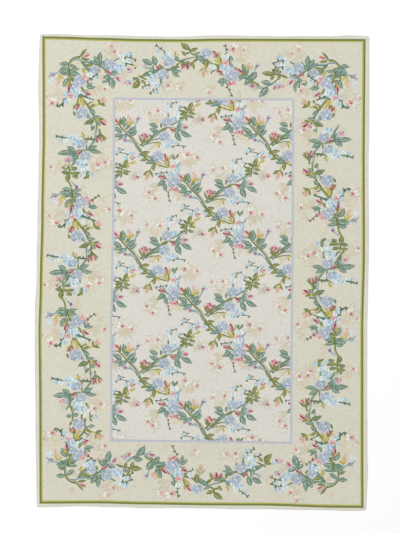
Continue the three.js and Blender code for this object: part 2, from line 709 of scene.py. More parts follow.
# The trellis unit, counted from the joint where its two boughs meet.
TRELLIS = (
    *shades(
        (49, 9, 14, 80, 5, 120), (41, 40, 14, 95, 5, 90), (20, 37, 12, 165, 3, 50), (15, -22, 13, -85, 4, 60),
        (61, -29, 10, 165, 3, 50), (18, -3, 12, 175, 3, 40), (9, 43, 9, 30, 3, 80),
    ),
    *leaves((8, 37, 18, 36.5, 2.4, SAND), (-8, 22, -3, 27, 2.6, SAND)),
    *stems(
        (1.1, SAND, 10, -33, 14, -28, 16, -22), (1.1, SAND, 19, -34, 17, -28, 16, -22),
        (1.0, SAND, 50, -31, 56, -31, 60, -29), (1.0, SAND, 40, 6, 44, 5, 48, 8, 52, 9),
    ),
    *ghosts(
        (46, 6.5, 4.8), (56, 9, 3.6), (8, -36, 3.6, Yarn.PINK), (19, -37, 3.6), (8, 45, 3.8), (14, 50, 4.2),
        (62, -29, 3.6),
    ),
    *stems(
        (1.6, OLIVE, -20, -23, -13, -15, -7, -9, -2, -3, 0, 0),
        (0.8, MOSS, -16, -21.5, -11, -15.5, -5, -9, 0, -3.5), (1.4, MIST, -11, -9, -6, -5, -2, -1),
        (2.4, TEAL, -4, -4, -2, 0, 1, 4), (1.6, OLIVE, 0, 0, 3, 7, 9, 12, 16, 15, 23, 18, 28, 19),
        (0.8, MOSS, 5, 6, 11, 10.5, 18, 13.5, 25, 16.5), (1.7, OLIVE, 0, -3, 3, -6, 4, -10),
        (2.0, TEAL, 2, -2, 7, -6, 13, -9, 20, -10), (1.1, OLIVE, 6, -4, 13, -6, 21, -6),
        (2.0, OLIVE, 12, -11, 18, -15, 23, -19, 28, -21, 34, -20),
        (1.5, TEAL, 31, -23, 38, -27, 44, -31, 47, -35), (1.2, MIST, 38, -24, 45, -30),
        (1.8, TEAL, 28, -29, 28, -36), (1.5, GOLD, 16, 16, 11, 20, 10, 24),
        (1.5, OLIVE, 28, 19, 29, 16, 28, 11), (1.5, OLIVE, 25, 29, 30, 34),
        (2.0, TEAL, 33, 6, 35, 11, 37, 17, 38, 24, 38, 29),
    ),
    *leaves(
        (38, 18, 41, 13, 2, MIST), (35, 11, 31, 7, 2), (35, 10, 38, 5, 2.2, OLIVE),
        (38, 22, 35, 16, 2.4, MIST), (-16, -21, -17, -32, 5.6), (-18, -15, -28, -21, 4.8),
        (-18, -14, -27, -13, 3.6), (-13, -14, -22, -9, 5.2), (-13, -16, -4, -23, 5), (-11, -13, -3, -18, 4.4),
        (-14, -19, -9, -27, 3.4, MOSS), (18, -21, 9, -25, 4.4), (20, -16, 9, -20, 4.8), (11, -10, 22, -18, 4),
        (19, -14, 28, -21, 3.4, OLIVE), (12, -10, 8, -14, 3), (10, -8, 14, -14, 2.6, MOSS),
        (21, -20, 21, -26, 2, OLIVE), (38, -16, 39, -27, 5), (36, -17, 41, -7, 5.6), (41, -18, 52, -12, 5),
        (33, -19, 39, -21, 3),
    ),
    Stem(((46, -30), (47, -36), (51, -44)), 1.4, OLIVE),
    *leaves(
        (48, -39, 52, -47, 4.2, OLIVE), (48, -38, 55, -39, 2.8, OLIVE), (48, -36, 56, -34, 3, OLIVE),
        (48, -37, 43, -42, 2.6, OLIVE), (47, -36, 39, -38, 2.6, MOSS), (47, -34, 38, -34, 2.8, OLIVE),
        (47, -33, 54, -30, 2.8, MOSS), (46, -32, 39, -30, 2.4, MOSS), (46, -34, 46, -27, 2.8, OLIVE),
        (44, -36, 42, -33, 1.8, OLIVE), (52, -36, 54, -43, 2, GOLD), (54, -42, 61, -45, 2.4, GOLD),
        (1, 4, 10, 3, 3.6, OLIVE), (2, 6, 9, 8, 2.8, OLIVE), (8, 10, 0, 12, 3.2, OLIVE),
        (4, 7, -2, 5, 2.4, MOSS), (16, 13, 8, 8, 4), (15, 13, 5, 15, 4.2), (15, 14, 14, 23, 3.8, OLIVE),
        (10, 23, 3, 27, 3, OLIVE), (10, 22, 13, 29, 2.2, OLIVE), (26, 33, 17, 38, 4.6), (25, 34, 27, 43, 4.4),
        (24, 34, 20, 31, 2.4),
    ),
    *sprigs(
        (2.4, OLIVE, 29, 43, 28, 48, 31, 54), (2.4, OLIVE, 30, -41, 33, -45, 37, -47),
        (2.4, OLIVE, 38, -38, 41, -41, 46, -41), (2.6, TEAL, 31, -2, 38, -3, 46, -2),
        (2.6, TEAL, 15, 25, 21, 25, 28, 23), (2.4, TEAL, -25, 6, -19, 4, -10, 6),
        (2.2, OLIVE, -22, -1, -17, 2),
    ),
    *stars(
        (34, -29, 3.2), (37, -34, 3, SNOW), (36, -39, 2.4, SNOW), (28, -38, 3, SNOW), (29, -44, 2.6),
        (39, -42, 1.8),
    ),
    *roses((27, -26.5, 5.8), (24.5, -12, 6), (18, 8, 6.2)),
    *stars((35, 14, 3.4, SNOW), (37, 21, 3), (32, 22, 3, SNOW), (30, 26, 2.8), (36, 27, 3.2)),
    Rose((34, 33.5), 7.2),
    *stars(
        (31, -7, 3), (28, -2.5, 2.8), (23, -2, 2.4, SNOW), (36, -5, 2.2), (20, 27, 1.8), (33, 18, 3, ROSY),
        (31, 41, 3.2, ROSY), (36, 41, 2.6, RUBY),
    ),
    Bud((-19, -24), (-26, -31), 5.4, PINK),
    *leaves((-21, -22, -19, -31, 2.4, OLIVE), (-10, -24, -5, -27, 2.6, GOLD), (-10, -23, -15, -27, 2, GOLD)),
    Bud((-9, -24), (-12, -33), 4.4, BLUSH), Trumpet((-6, -21), (-2, -30), 4),
    Trumpet((-8, -6), (-15, -8), 4.4), Leaf((3, -6), (9, -8), 2.6, MOSS),
    *buds((3, -6, 3, -14, 5, PINK), (4, -6, 8, -13, 4.4, RED)),
    *stars((4, -13, 3.2, RUBY), (6, -9, 2.4, ROSY)),
    *leaves((3, -5, -1, -14, 2, OLIVE), (4, -6, 11, -11, 2, OLIVE), (4, -6, 5, -11, 1.8, OLIVE)),
    *buds(
        (40, -21, 49, -22, 5, LILAC), (36, -17, 30, -20, 3.6, RED), (58, -30, 65, -27, 4.4, LILAC),
        (18, -7, 19, 0, 2.8, YELLOW), (28, 14, 25, 5, 4, MAGENTA),
    ),
    *leaves(
        (28, 13, 31, 6, 2.2, GOLD), (28, 20, 22, 12, 2.4, GOLD), (28, 20, 25, 12, 2, GOLD),
        (16, 14, 20, 19, 1.8, GOLD),
    ),
    *buds((10, 22, 6, 32, 4.6, PEACH), (26, 29, 18, 28, 4, MAGENTA)),
    *stars((-22, 2.5, 2.2), (-14, 9, 2.4), (-8, 5, 2.6), (-1, 8, 2)),
    Bud((-10, 10), (-4, 8), 3.2, PINK),
)

# The shoot of olive leaves between two rose pairs and the next cluster, counted from its upper leaf joint.
OLIVE_SHOOT = (
    *shades((8, 15, 12, 20, 4, 110), (-6, -8, 11, 175, 4, 90), (28, -6, 10, 150, 3, 80)),
    *ghosts((-18, -5, 3.6), (27, -8, 4.4), (37, -11, 3.6, Yarn.PINK)),
    *stems(
        (2.3, OLIVE, 0, -15, -1, -8, 0, -1, -2, 7, 1, 13, 2, 22, 2, 31), (1.8, TEAL, 1, -7, 5, -12, 9, -15),
        (1.6, TEAL, -1, -10, 1, -14, 5, -18),
    ),
    *leaves(
        (-1, -4, -9, -5, 3.8, OLIVE), (-1, -7, -6, -9, 2.4, MOSS), (0, -4, 9, -5, 3.6, MOSS),
        (-1, 0, -9, -1, 4, MOSS), (0, 0, 11, -1, 3.8, OLIVE), (-1, 1, -3, 9, 5.4, OLIVE),
        (0, 2, -4, 4, 3, OLIVE), (2, 4, 9, 3, 3, OLIVE), (5, 3, 8, 6, 2.2, OLIVE), (6, -1, 10, 2, 2.2, MOSS),
    ),
    Stem(((10, -14), (10, -3)), 1.8, MIST),
    *stars((8, -10, 3.4), (10, -4, 3, SNOW), (10, 3, 2.2)),
    Stem(((16, -14), (16.5, -6)), 2.2),
    *stars((16, -4, 3.4, SNOW), (13, -7, 2.2)),
    *leaves((18, -3, 18, 6, 3.6, OLIVE), (18, 1, 14, -2, 2, OLIVE), (18, 3, 13, 6, 2.6, OLIVE)),
    *stars((21, 1, 2.6), (15, -1, 2)),
    Trumpet((1, 8), (7, 14), 4.2, Yarn.MAGENTA), Leaf((2, 21), (6, 27), 2.6),
)

# The big lavender rose with its leaves and buds, counted from the rose.
LAVENDER_CLUSTER = (
    *shades((-14, 8, 13, 125, 5, 130), (16, 4, 12, 45, 4, 110), (20, -4, 9, -30, 3, 90)),
    *stems(
        (1.1, SAND, 17, 2, 24, 6, 28, 6), (1.1, SAND, -17, 12, -22, 16, -25, 18),
        (0.9, SAND, -25, 18, -29, 14, -32, 12),
    ),
    *ghosts((-32, 12, 3.2, Yarn.PINK), (-25, 18.5, 5.2), (28, 5.5, 3.6)),
    *leaves(
        (-8, -10, -20, -12, 7.2), (-9, -13, -18, -15, 3.8), (-8, -13, 2, -14, 3.6), (-8, -10, 2, -8, 4.6),
        (-9, -5, -15, 4, 5.4), (-5, -6, 1, 1, 3.6), (-6, -10, -10, -6, 3, MOSS),
    ),
    Stem(((-7.5, -14), (-6.5, -7), (-4, 0)), 2.6, OLIVE),
    *leaves((-6, -6, -9, 0, 2.8, OLIVE), (-6, -4, -2, -1, 2.4, OLIVE)),
    Trumpet((-18, -11), (-25, -8), 4.8), Stem(((-24, -10), (-30, -5)), 1.8, MIST),
    *stars((-27, -1.5, 2.8, SNOW), (-24, -3, 2, SNOW)),
    *leaves((-18, -9, -20, -4, 2.2, GOLD), (-18, -9, -14, -4, 2.2, GOLD)),
    Bud((-19, -6), (-21, 3), 4.2, BLUSH), Stem(((-8, 5), (-10, 12), (-13, 18), (-19, 24)), 2.2),
    *sprigs((3.2, TEAL, -8, 5, -11, 12, -14, 19, -20, 24), (2.6, TEAL, -13, 17, -15, 22, -22, 22)),
    *stars((-12, 12, 3), (-12, 19, 2.6), (-9, 16, 2.4, SNOW)),
    *roses((2, -2, 7), (-4, 3, 5.2)),
    *stars(
        (0, 8, 4.4, SNOW), (-5, 9, 3.6), (4, 11, 3.6, SNOW), (-1, 13, 3), (-8, 13, 3.4, ROSY),
        (10, -3, 3.4, ROSY), (6, -6, 2.8, ROSY),
    ),
    *leaves((8, 3, 18, 4, 4), (10, 4, 15, 0, 2.4), (10, 3, 9, -3, 2.2)),
    Sprig(((11, -4), (16, -6), (19, -10)), OLIVE, 2.8), Bud((-9, 0), (-10, 8), 4, RED),
    *leaves((-9, -1, -13, 3, 2.2, GOLD), (-9, -1, -6, 4, 2, OLIVE), (3, 4, 6, 10, 3, OLIVE)),
    Bud((6, 8), (13, 12), 3.6, RED), Stem(((1, 12), (7, 14), (15, 17)), 1.6),
    Sprig(((2, 11), (8, 14), (16, 17)), TEAL, 3.2),
    *stars((6, 17, 2.6, SNOW), (11, 19, 1.8, SNOW)),
)

# One rose under its gold bracts, the upper part of a bough, counted from the rose.
BOUGH_HEAD = (
    Shade((10, -8), 9, -70, 4, 120),
    *stems(
        (2.2, OLIVE, -2, -17, -4, -12, -4, -8), (2.6, OLIVE, -2, -17, 3, -11, 8, -5),
        (3.4, OLIVE, 6, -7, 8, -5, 9, -2), (2, GOLD, 8, -6, 14, -8, 22, -10),
        (1.4, OLIVE, 5, -8, 8, -10, 11, -11),
    ),
    *leaves(
        (8, -6, 13, -9, 3, OLIVE), (3, 0, 8, 5, 4), (-2, -16, -3, -5, 2.8, GOLD), (-1, -15, 1, -5, 2.6, GOLD),
        (-1, -8, 4, -7, 1.8, GOLD), (-6, -6, -10, -8, 1.8, GOLD), (-6, -7, -9, -3, 2, OLIVE),
        (-7, 3, -9, -2, 2.4, OLIVE),
    ),
    Rose((0, 0), 6.8), Bud((-4, -10), (-6, -3), 4, MAGENTA),
    *leaves((17, -9, 24, -7, 2.6, OLIVE), (18, -9, 16, -14, 2.4, MOSS), (18, -10, 24, -12, 2, OLIVE)),
    Bud((18, -9), (23, -16), 4.4, PEACH),
    *stars((23, -12, 2, ROSY), (6, -13, 1.8, SNOW)),
)

# The lower part of that bough, counted from the same rose.
BOUGH_STEM = (
    Shade((13, 22), 9, 150, 4, 90),
    *stems((2.8, MIST, 6, 1, 9, 8, 10, 18), (2.4, OLIVE, 8, -5, 12, 3, 14.5, 8, 14.5, 20)),
    *leaves(
        (8, -4, 14, 0, 4.4), (10, 4, 19, 3.5, 3.6), (13, 8, 2, 11.5, 4.8, MOSS), (13, 6, 7, 9, 3, OLIVE),
        (14, 9, 19, 13, 3.4), (13, 13, 9, 18, 3, MOSS), (14, 6, 21, 8, 2.6, GOLD), (16, 7, 22, 5, 2, OLIVE),
    ),
    Bud((17, 7), (24, 12), 4.4, RED), Star((23, 8), 1.8, ROSY),
)

ROSE_BOUGH = BOUGH_HEAD + BOUGH_STEM

# The two sky flowers between the lowest rose pair and the bough below it, counted from the bough's rose.
SKY_FLOWERS = (
    Shade((14, -18), 9, -40, 4, 120),
    *stems((2, TEAL, -4, -22, -2, -16, -6, -12), (2.4, OLIVE, -7, -18, -5, -9, -6, -3)),
    *leaves((-6, -9, -12, -8, 4), (-5, -9, 1, -10, 4), (-7, -16, -10, -20, 2.6, MOSS)),
    Stem(((8, -21), (12, -15)), 2),
    *stars((2, -15, 4), (5, -10, 3.4, SNOW), (13, -13, 3.6, SNOW)),
    *stems((1.8, OLIVE, 4, -10, 4, -4), (1.4, OLIVE, 12, -12, 12, -4)),
    *leaves((12, -7, 17, -9, 2.2, OLIVE), (12, -6, 14, -2, 2.2, OLIVE)),
    Star((17, -7), 2.8), Stem(((7, -6), (7, 5)), 2), Leaf((10, 3), (17, 2), 3.4),
)

# The two roses that close a garland's length, counted from between them.
ROSE_PAIR = (
    *shades((13, 6, 13, 10, 5, 120), (-14, 12, 9, 120, 3, 80)),
    Stem(((8, 6), (15, 11), (22, 13)), 1.1, SAND),
    *ghosts((14, 16, 4.2), (23, 13, 4.2)),
    Stem(((-26, -14), (-21, -12.5), (-15, -12), (-8, -12)), 1.6),
    Sprig(((-28, -15), (-22, -12), (-15, -12), (-9, -12)), TEAL, 3),
    *stars((-23, -9.5, 2.2), (-18, -9, 2.6, SNOW), (-14, -13, 2.4, SNOW)),
    Stem(((-6, -12), (4, -11), (13, -10)), 1.9), Sprig(((1, -11), (8, -11), (15, -10)), TEAL, 2.8),
    *stems(
        (2.4, TEAL, 15, -14, 10, -7, 4, 0), (2.2, MIST, 13, -20, 12, -13, 14, -9),
        (1.8, TEAL, 17, -18, 13, -10), (2, OLIVE, 16, -21, 17, -16, 22, -9),
        (1.9, OLIVE, 2, -11, 3, -5, 3, 0), (2.8, MOSS, -14, 4, -6, 2, 0, 1, 7, 0),
    ),
    *leaves(
        (5, -1, 14, -4, 4.4), (6, 1, 18, 3, 4.2), (2, 1, 7, 5, 3, MOSS), (-9, 3, -17, -3, 5.2),
        (-11, 3, -26, 4, 5.4), (-12, 2, -8, 12, 5.2), (-10, 4, -5, 8, 3, MOSS),
    ),
    *stems((1.8, TEAL, -9, 10, -4, 4), (2, TEAL, -8, 11, -13, 18), (1.6, TEAL, -6, 15, -2, 11)),
    *leaves((3, -6, -1, -12, 3.4, OLIVE), (2, -10, 6, -13, 2.4, OLIVE)),
    *roses((-2, -6, 5.8), (2, 6, 6)),
    *stars(
        (-11, -12, 3.4), (-8, -7, 3.8), (-4, -12, 3.2, SNOW), (-8, -14, 2.4, SNOW), (-3, 13, 3.6),
        (1, 12, 2.8, SNOW),
    ),
    *buds((0, -12, -2, -18, 3.2, YELLOW), (-1, 1, -7, 4, 3.2, RED), (-11, 7, -20, 11, 5.4, LILAC)),
    Star((-17, 9), 2, ROSY),
    *buds((15, -15, 14, -7, 4, MAGENTA), (18, -15, 20, -8, 3.8, PINK)),
    *leaves((17, -17, 24, -11, 2.2, OLIVE), (16, -15, 18, -7, 1.8, OLIVE)),
)

# The spray that turns a corner of the border, counted from the guard line's corner.
CORNER_SPRAY = (
    *shades(
        (32, 25, 9, 60, 3, 70), (66, 20, 11, -65, 5, 140), (76, 38, 10, 20, 4, 110), (34, 14, 8, -160, 3, 60),
    ),
    Stem(((60, 22), (66, 14), (67, 10)), 1.1, SAND),
    *ghosts((66, 8, 4.2, Yarn.PINK), (72, 15.5, 4)),
    Stem(((36, 20), (31, 21), (27, 24), (25, 28), (24.5, 35), (24.5, 43)), 2.5, OLIVE),
    *leaves((36, 20, 43, 12, 2.8, OLIVE), (37, 21, 46, 22, 2.6, OLIVE), (38, 19, 45, 15, 1.8, OLIVE)),
    Bud((37, 20), (46, 17), 4.4, PINK),
    *stems((1.8, MIST, 29, 23, 36, 23, 41, 28, 45, 34), (2.8, TEAL, 38, 25, 42, 29, 45.5, 35)),
    *leaves((25, 27, 15, 27, 4.4), (26, 27, 34, 33, 4.2), (25, 37, 35, 36, 3.6), (25, 33, 17, 36, 3, MOSS)),
    Stem(((37, 25), (46, 25), (56, 26)), 2.2),
    *leaves((41, 29, 50, 27, 3.8, OLIVE), (43, 31, 38, 26, 3.2, MOSS), (44, 32, 49, 31, 2.8, MOSS)),
    Stem(((53, 26), (60, 31), (64, 36), (67, 42)), 2.8),
    *leaves(
        (56, 28, 57, 15, 5.4), (55, 28, 50, 19, 5), (54, 28, 46, 23, 3.4), (56, 28, 62, 24, 3.4),
        (60, 29, 64, 21, 3.2, OLIVE), (52, 28, 58, 31, 3, MOSS), (66, 38, 58, 46, 6.6), (66, 40, 69, 52, 6.4),
        (66, 38, 75, 34.5, 4.8),
    ),
    *roses((51, 34, 6), (66, 28, 6.6)),
    Leaf((55, 37), (57, 32), 2, OLIVE),
    *stars((46, 38, 3.4, SNOW), (51, 40, 3.8), (48, 42, 2.4, SNOW)),
    Leaf((45, 41), (50, 43), 2.2),
    *stars((73, 31, 3.6), (76, 32, 3.2), (79, 28, 3.8), (82, 26, 3, SNOW), (78, 20, 4, SNOW)),
    Stem(((70, 24), (76, 21)), 1.6),
    *stars((85, 18, 3.6), (87, 24, 2.6)),
    *sprigs((3.2, OLIVE, 80, 20, 86, 21, 93, 23), (3.4, OLIVE, 81, 26, 88, 28, 93, 30)),
    *buds(
        (40, 31, 41, 37, 3.4, YELLOW), (61, 33, 67, 37, 3.4, RED), (70, 37, 77, 45, 5, LILAC),
        (88, 35, 82, 31, 4, LILAC), (82, 44, 88, 48, 4, LILAC),
    ),
    *stars((88, 44, 2.4), (81, 46, 2, ROSY)),
)

# The long bough in the middle of an end border, counted from its middle.
END_BOUGH = (
    *shades(
        (-38, 12, 10, 70, 4, 120), (-22, 11, 10, 80, 4, 110), (36, -12, 12, -40, 5, 150),
        (8, 15, 8, 60, 3, 90), (-64, -4, 9, -150, 3, 80), (62, 24, 9, 30, 3, 100), (84, -12, 10, -80, 4, 130),
    ),
    *leaves((-47, 4, -53, -3, 4.2), (-47, 3, -42, -2, 3.4, MOSS), (-52, 6, -57, 3, 3, MOSS)),
    Stem(((-45, -1), (-37, 0), (-29, -1)), 2.6, MOSS), Leaf((-31, -2), (-22, -3), 3.2, MOSS),
    Stem(((-28, -13), (-22, -8), (-19, -3)), 2.2),
    *leaves(
        (-16, -14, -20, -19, 3, OLIVE), (-4, -13, -8, -7, 2.6, OLIVE), (14, -6, 18, -1, 2.6, OLIVE),
        (27, -14, 31, -9, 3.6), (28, -8, 24, -11, 3), (40, 5, 37, 11, 3.6), (44, 5, 39, 1, 3, MOSS),
    ),
    Stem(((32, -2), (40, 4), (47, 10), (55, 17)), 2.2, OLIVE),
    *leaves(
        (52, 12, 58, 16, 2.6, OLIVE), (78, 5, 86, 8, 2.4, OLIVE), (44, -10, 31, -9, 4.2, SAND),
        (36, 20, 38, 29, 3.6, SAND),
    ),
    *ghosts(
        (-34, 17, 4), (-23, 18, 3.8, Yarn.PINK), (32, -22, 5.6), (42, -21, 3.8, Yarn.PINK),
        (6, 21, 4, Yarn.PINK),
    ),
    *stems(
        (1.8, OLIVE, -63, 6, -59, 8, -55, 10), (1.8, TEAL, -61, 7, -56, 3, -51, 1),
        (1.6, TEAL, -60, 6, -52, 5, -46, 1, -41, -1), (2.8, TEAL, -50, 4, -49, -5),
        (2.4, MOSS, -43, -5, -38, -1, -33, 1), (2.6, TEAL, -41, 8, -41, 14),
        (1.6, TEAL, -27, -10, -22, -9, -15, -11, -6, -13),
        (2, OLIVE, -10, -6, -8, -9, -4, -12, -1, -10, 4, -7), (1.8, OLIVE, -12, -21, -11, -17, -6, -14),
        (2.2, OLIVE, -6, -14, 0, -11, 6, -9, 11, -6, 19, -5), (3, TEAL, 28, -13, 28, -7, 31, -3),
        (2.6, OLIVE, 44, 4, 48, 11, 54, 16, 60, 18), (1.8, OLIVE, 50, 10, 54, 15),
        (1.8, MIST, 52, 17, 60, 18, 66, 16), (1.6, TEAL, 66, 16, 71, 13, 77, 8),
        (1.6, OLIVE, 70, 4, 77, 5, 84, 7),
    ),
    *leaves(
        (-62, 11, -70, 18, 5.8, OLIVE), (-62, 10, -70, 8, 3.8, MOSS), (-61, 10, -56, 14, 3, OLIVE),
        (-66, 10, -69, 12, 1.6, GOLD),
    ),
    Sprig(((-60, 17), (-56, 16), (-52, 14)), OLIVE, 2.8),
    *leaves((-50, -5, -60, -11, 5.2), (-46, -4, -49, -14, 5.6)),
    Trumpet((-50, 0), (-57, -3), 4, Yarn.PEACH),
    *sprigs((3, TEAL, -46, -26, -42, -21, -35, -18), (3, OLIVE, -53, 23, -48, 21, -45, 18)),
    *leaves(
        (-27, -14, -23, -8, 3), (-22, -8, -17, -10, 2.6, OLIVE), (-26, -3, -23, -7, 2.4, OLIVE),
        (-20, -6, -12, -9, 3.4), (-32, -1, -20, 1, 4), (-30, 1, -22, 7, 3.8), (-35, 1, -34, 10, 2.6, OLIVE),
    ),
    *roses((-33, -8.5, 6.4), (-39, 4.5, 6)),
    *stars(
        (-37.5, -13, 3.6), (-30, -14, 3.2, SNOW), (-44, -19, 2.2), (-34, -18, 2.8, SNOW), (-49, 7, 3.8),
        (-51, 12, 2.8), (-48, 14, 2.8, SNOW), (-44, 16, 3), (-46, 22, 2.8), (-54, 18, 2),
    ),
    *buds(
        (-63, 9, -64, 4, 2, YELLOW), (-26, -12, -27, -19, 3.2, YELLOW), (-41, -1, -46, -4, 3.2, RED),
        (-16, -7, -20, -1, 4, MAGENTA), (-13, -8, -14, 0, 4.4, RED),
    ),
    *leaves(
        (-11, -8, -8, 0, 3, OLIVE), (-12, -20, -21, -27, 5.6, OLIVE), (-12, -19, -4, -22, 3.8, OLIVE),
        (-12, -17, -17, -16, 2.2, OLIVE), (-9, -15, -1, -18, 2.8), (-6, -14, 5, -9, 5), (-2, -10, 5, -6, 4),
    ),
    Rose((5, -17), 5.8),
    *leaves((6, -11, 5, -1, 5, OLIVE), (3, -5, 2, -1, 1.6, GOLD)),
    Bud((2, -2), (1, 8), 4.6, PEACH),
    *leaves(
        (19, -6, 11, -11, 2.2, GOLD), (19, -6, 14, -13, 2.2, GOLD), (19, -6, 17, -14, 1.8, OLIVE),
        (16, -12, 18, -18, 2.2, GOLD),
    ),
    Bud((16, -12), (11, -19), 4.2, MAGENTA), Star((11, -3), 3, SNOW),
    Sprig(((8, 2), (12, 1), (17, -3)), TEAL, 2.4), Bud((21, 4), (14, 1), 4, RED),
    Leaf((23, 7), (20, 3), 2.6, OLIVE), Sprig(((24, -26), (24, -20), (25, -15)), TEAL, 3.2),
    *stars((24, -13, 3.2, SNOW), (22, -3, 4), (27, -1, 3.6), (24, 3, 3.6, SNOW), (23.5, -7, 3.8, ROSY)),
    Rose((30, 6), 7.8), Leaf((40, 3), (43, 7), 3, OLIVE), Bud((42, 5), (35, -1), 4.2, RED),
    *leaves(
        (46, 4, 40, -6, 6.4), (48, 8, 38, 8, 5), (48, 9, 42, 15, 5), (48, 10, 55, 2, 6.8),
        (36, 8, 40, 5, 2.4), (47, -1, 42, -6, 2.2, GOLD),
    ),
    Bud((49, 0), (46, -7), 4.2, BLUSH), Trumpet((52, 3), (55, -4), 4), Bud((56, 18), (46, 16), 5, LILAC),
    *leaves(
        (69, 14, 59, 12, 5.2), (66, 17, 57, 27, 6.2), (72, 4, 60, 3, 5, OLIVE), (72, 4, 75, -3, 3.6, OLIVE),
        (72, 5, 69, 11, 3.6, OLIVE), (77, 4, 77, -1, 3.6), (77, 5, 76, 10, 3.4, OLIVE),
    ),
    Bud((76, 15), (71, 20), 4.4, LILAC),
    *leaves((22, 8, 15, 13, 4.4), (21, 9, 20, 17, 3.8), (22, 8, 26, 15, 2.8)),
    *stars((30.5, 13.5, 3.6, ROSY), (27, 14, 2.4, RUBY)),
    Sprig(((25, 16), (27, 21), (31, 27)), OLIVE, 2.8),
)


class Turned(Enum):
    """How a chart is turned over, as the signs of its places across and along."""

    NOT = (1, 1)
    ACROSS = (-1, 1)
    ALONG = (1, -1)
    BOTH = (-1, -1)


@dataclass(frozen=True)
class Placement:
    """Where a chart goes, in squares from the rug's middle, and how it is turned over."""

    chart: tuple[Motif, ...]
    right: float
    down: float
    turned: Turned = Turned.NOT


def placements(chart: tuple[Motif, ...], *rows: tuple[float | Turned, ...]) -> list[Placement]:
    """Returns a chart's placements, each row its right, its down and how it is turned over, if it is."""
    return [Placement(chart, *row) for row in rows]


TRELLIS_JOINT = (-61.6, -9.9)
TRELLIS_STEP = (65.0, 56.5)
TRELLIS_RISE = 113.5
TRELLIS_COLUMNS = range(-3, 5)
TRELLIS_ROWS = range(-5, 6)
TRELLIS_REACH = (160, 240)
FIELD_HALF_WIDTH = 91
FIELD_ENDS = (-173, 171)

GARLANDS = (
    *placements(
        CORNER_SPRAY, (-157.6, -234.9), (163.0, -231.6, Turned.ACROSS),
        (-160.9, 230.7, Turned.ALONG), (161.0, 234.8, Turned.BOTH),
    ),
    *placements(END_BOUGH, (0.4, -201.9), (0.4, 200.1, Turned.BOTH)),
    *placements(
        OLIVE_SHOOT, (-131.6, -98.9), (-137.6, 18.1), (138.0, -27.4, Turned.BOTH), (135.0, 92.6, Turned.BOTH)
    ),
    *placements(
        LAVENDER_CLUSTER, (-123.6, -188.9), (-121.6, -67.9), (-126.1, 51.1), (-125.6, 180.0, Turned.ALONG),
        (125.9, -186.9, Turned.ACROSS), (127.4, -60.0, Turned.BOTH), (124.4, 59.0, Turned.BOTH),
        (123.4, 184.0, Turned.BOTH),
    ),
    *placements(ROSE_BOUGH, (-119.6, -158.9), (-124.6, -35.9), (-125.6, 83.1)),
    Placement(BOUGH_HEAD, -123.1, 152.1, Turned.ALONG),
    Placement(SKY_FLOWERS, -123.6, 152.1),
    *placements(
        ROSE_BOUGH, (124.4, -157.0, Turned.ACROSS),
        (125.4, -91.0, Turned.BOTH), (125.4, 30.0, Turned.BOTH), (122.4, 155.0, Turned.BOTH),
    ),
    *placements(
        ROSE_PAIR, (-118.0, -122.0), (-126.6, -2.9), (-122.6, 120.0),
        (124.0, -128.4, Turned.BOTH), (128.0, -2.4, Turned.BOTH), (121.0, 118.6, Turned.BOTH),
    ),
)


def eased(rows: tuple[Point, ...], along: float) -> float:
    """Reads a table of places and distances, easing from each row to the next.

    Args:
        rows: The table, each row a place along a side and a distance there.
        along: The place to read.

    Returns:
        The distance at that place.
    """
    if along <= rows[0][0]:
        return rows[0][1]
    for (start, low), (end, high) in zip(rows, rows[1:]):
        if along <= end:
            share = (along - start) / (end - start)
            return low + (high - low) * share * share * (3 - 2 * share)
    return rows[-1][1]


@dataclass(frozen=True)
class WovenLine:
    """A closed line near the shape of a rectangle.

    Each side has rows of a place along it and the line's distance from the middle there.
    """

    left: tuple[Point, ...]
    right: tuple[Point, ...]
    top: tuple[Point, ...]
    bottom: tuple[Point, ...]
    step: float = 9.0

    def outline(self, inward: float) -> Outline:
        """Draws the line moved inward.

        Args:
            inward: How far, in squares.

        Returns:
            The closed outline, in chart squares from the rug's middle.
        """
        north, south = -self.top[0][1], self.bottom[0][1]
        west, east = -self.left[0][1], self.right[0][1]
        return [
            (inward - eased(self.left, north), inward - eased(self.top, west)),
            *((right, inward - eased(self.top, right)) for right in self.places(west, east, inward)),
            (eased(self.right, north) - inward, inward - eased(self.top, east)),
            *((eased(self.right, down) - inward, down) for down in self.places(north, south, inward)),
            (eased(self.right, south) - inward, eased(self.bottom, east) - inward),
            *((right, eased(self.bottom, right) - inward) for right in self.places(east, west, inward)),
            (inward - eased(self.left, south), eased(self.bottom, west) - inward),
            *((inward - eased(self.left, down), down) for down in self.places(south, north, inward)),
        ]

    def places(self, start: float, end: float, inward: float) -> list[float]:
        """Spaces the places between two corners of a side.

        Args:
            start: The first corner's place.
            end: The second corner's place.
            inward: How far the line is moved inward.

        Returns:
            The places, without the corners themselves.
        """
        sign = math.copysign(1.0, end - start)
        first, last = start + sign * (inward + self.step), end - sign * (inward + self.step)
        count = round(abs(last - first) / self.step)
        return [first + (last - first) * index / count for index in range(count + 1)]


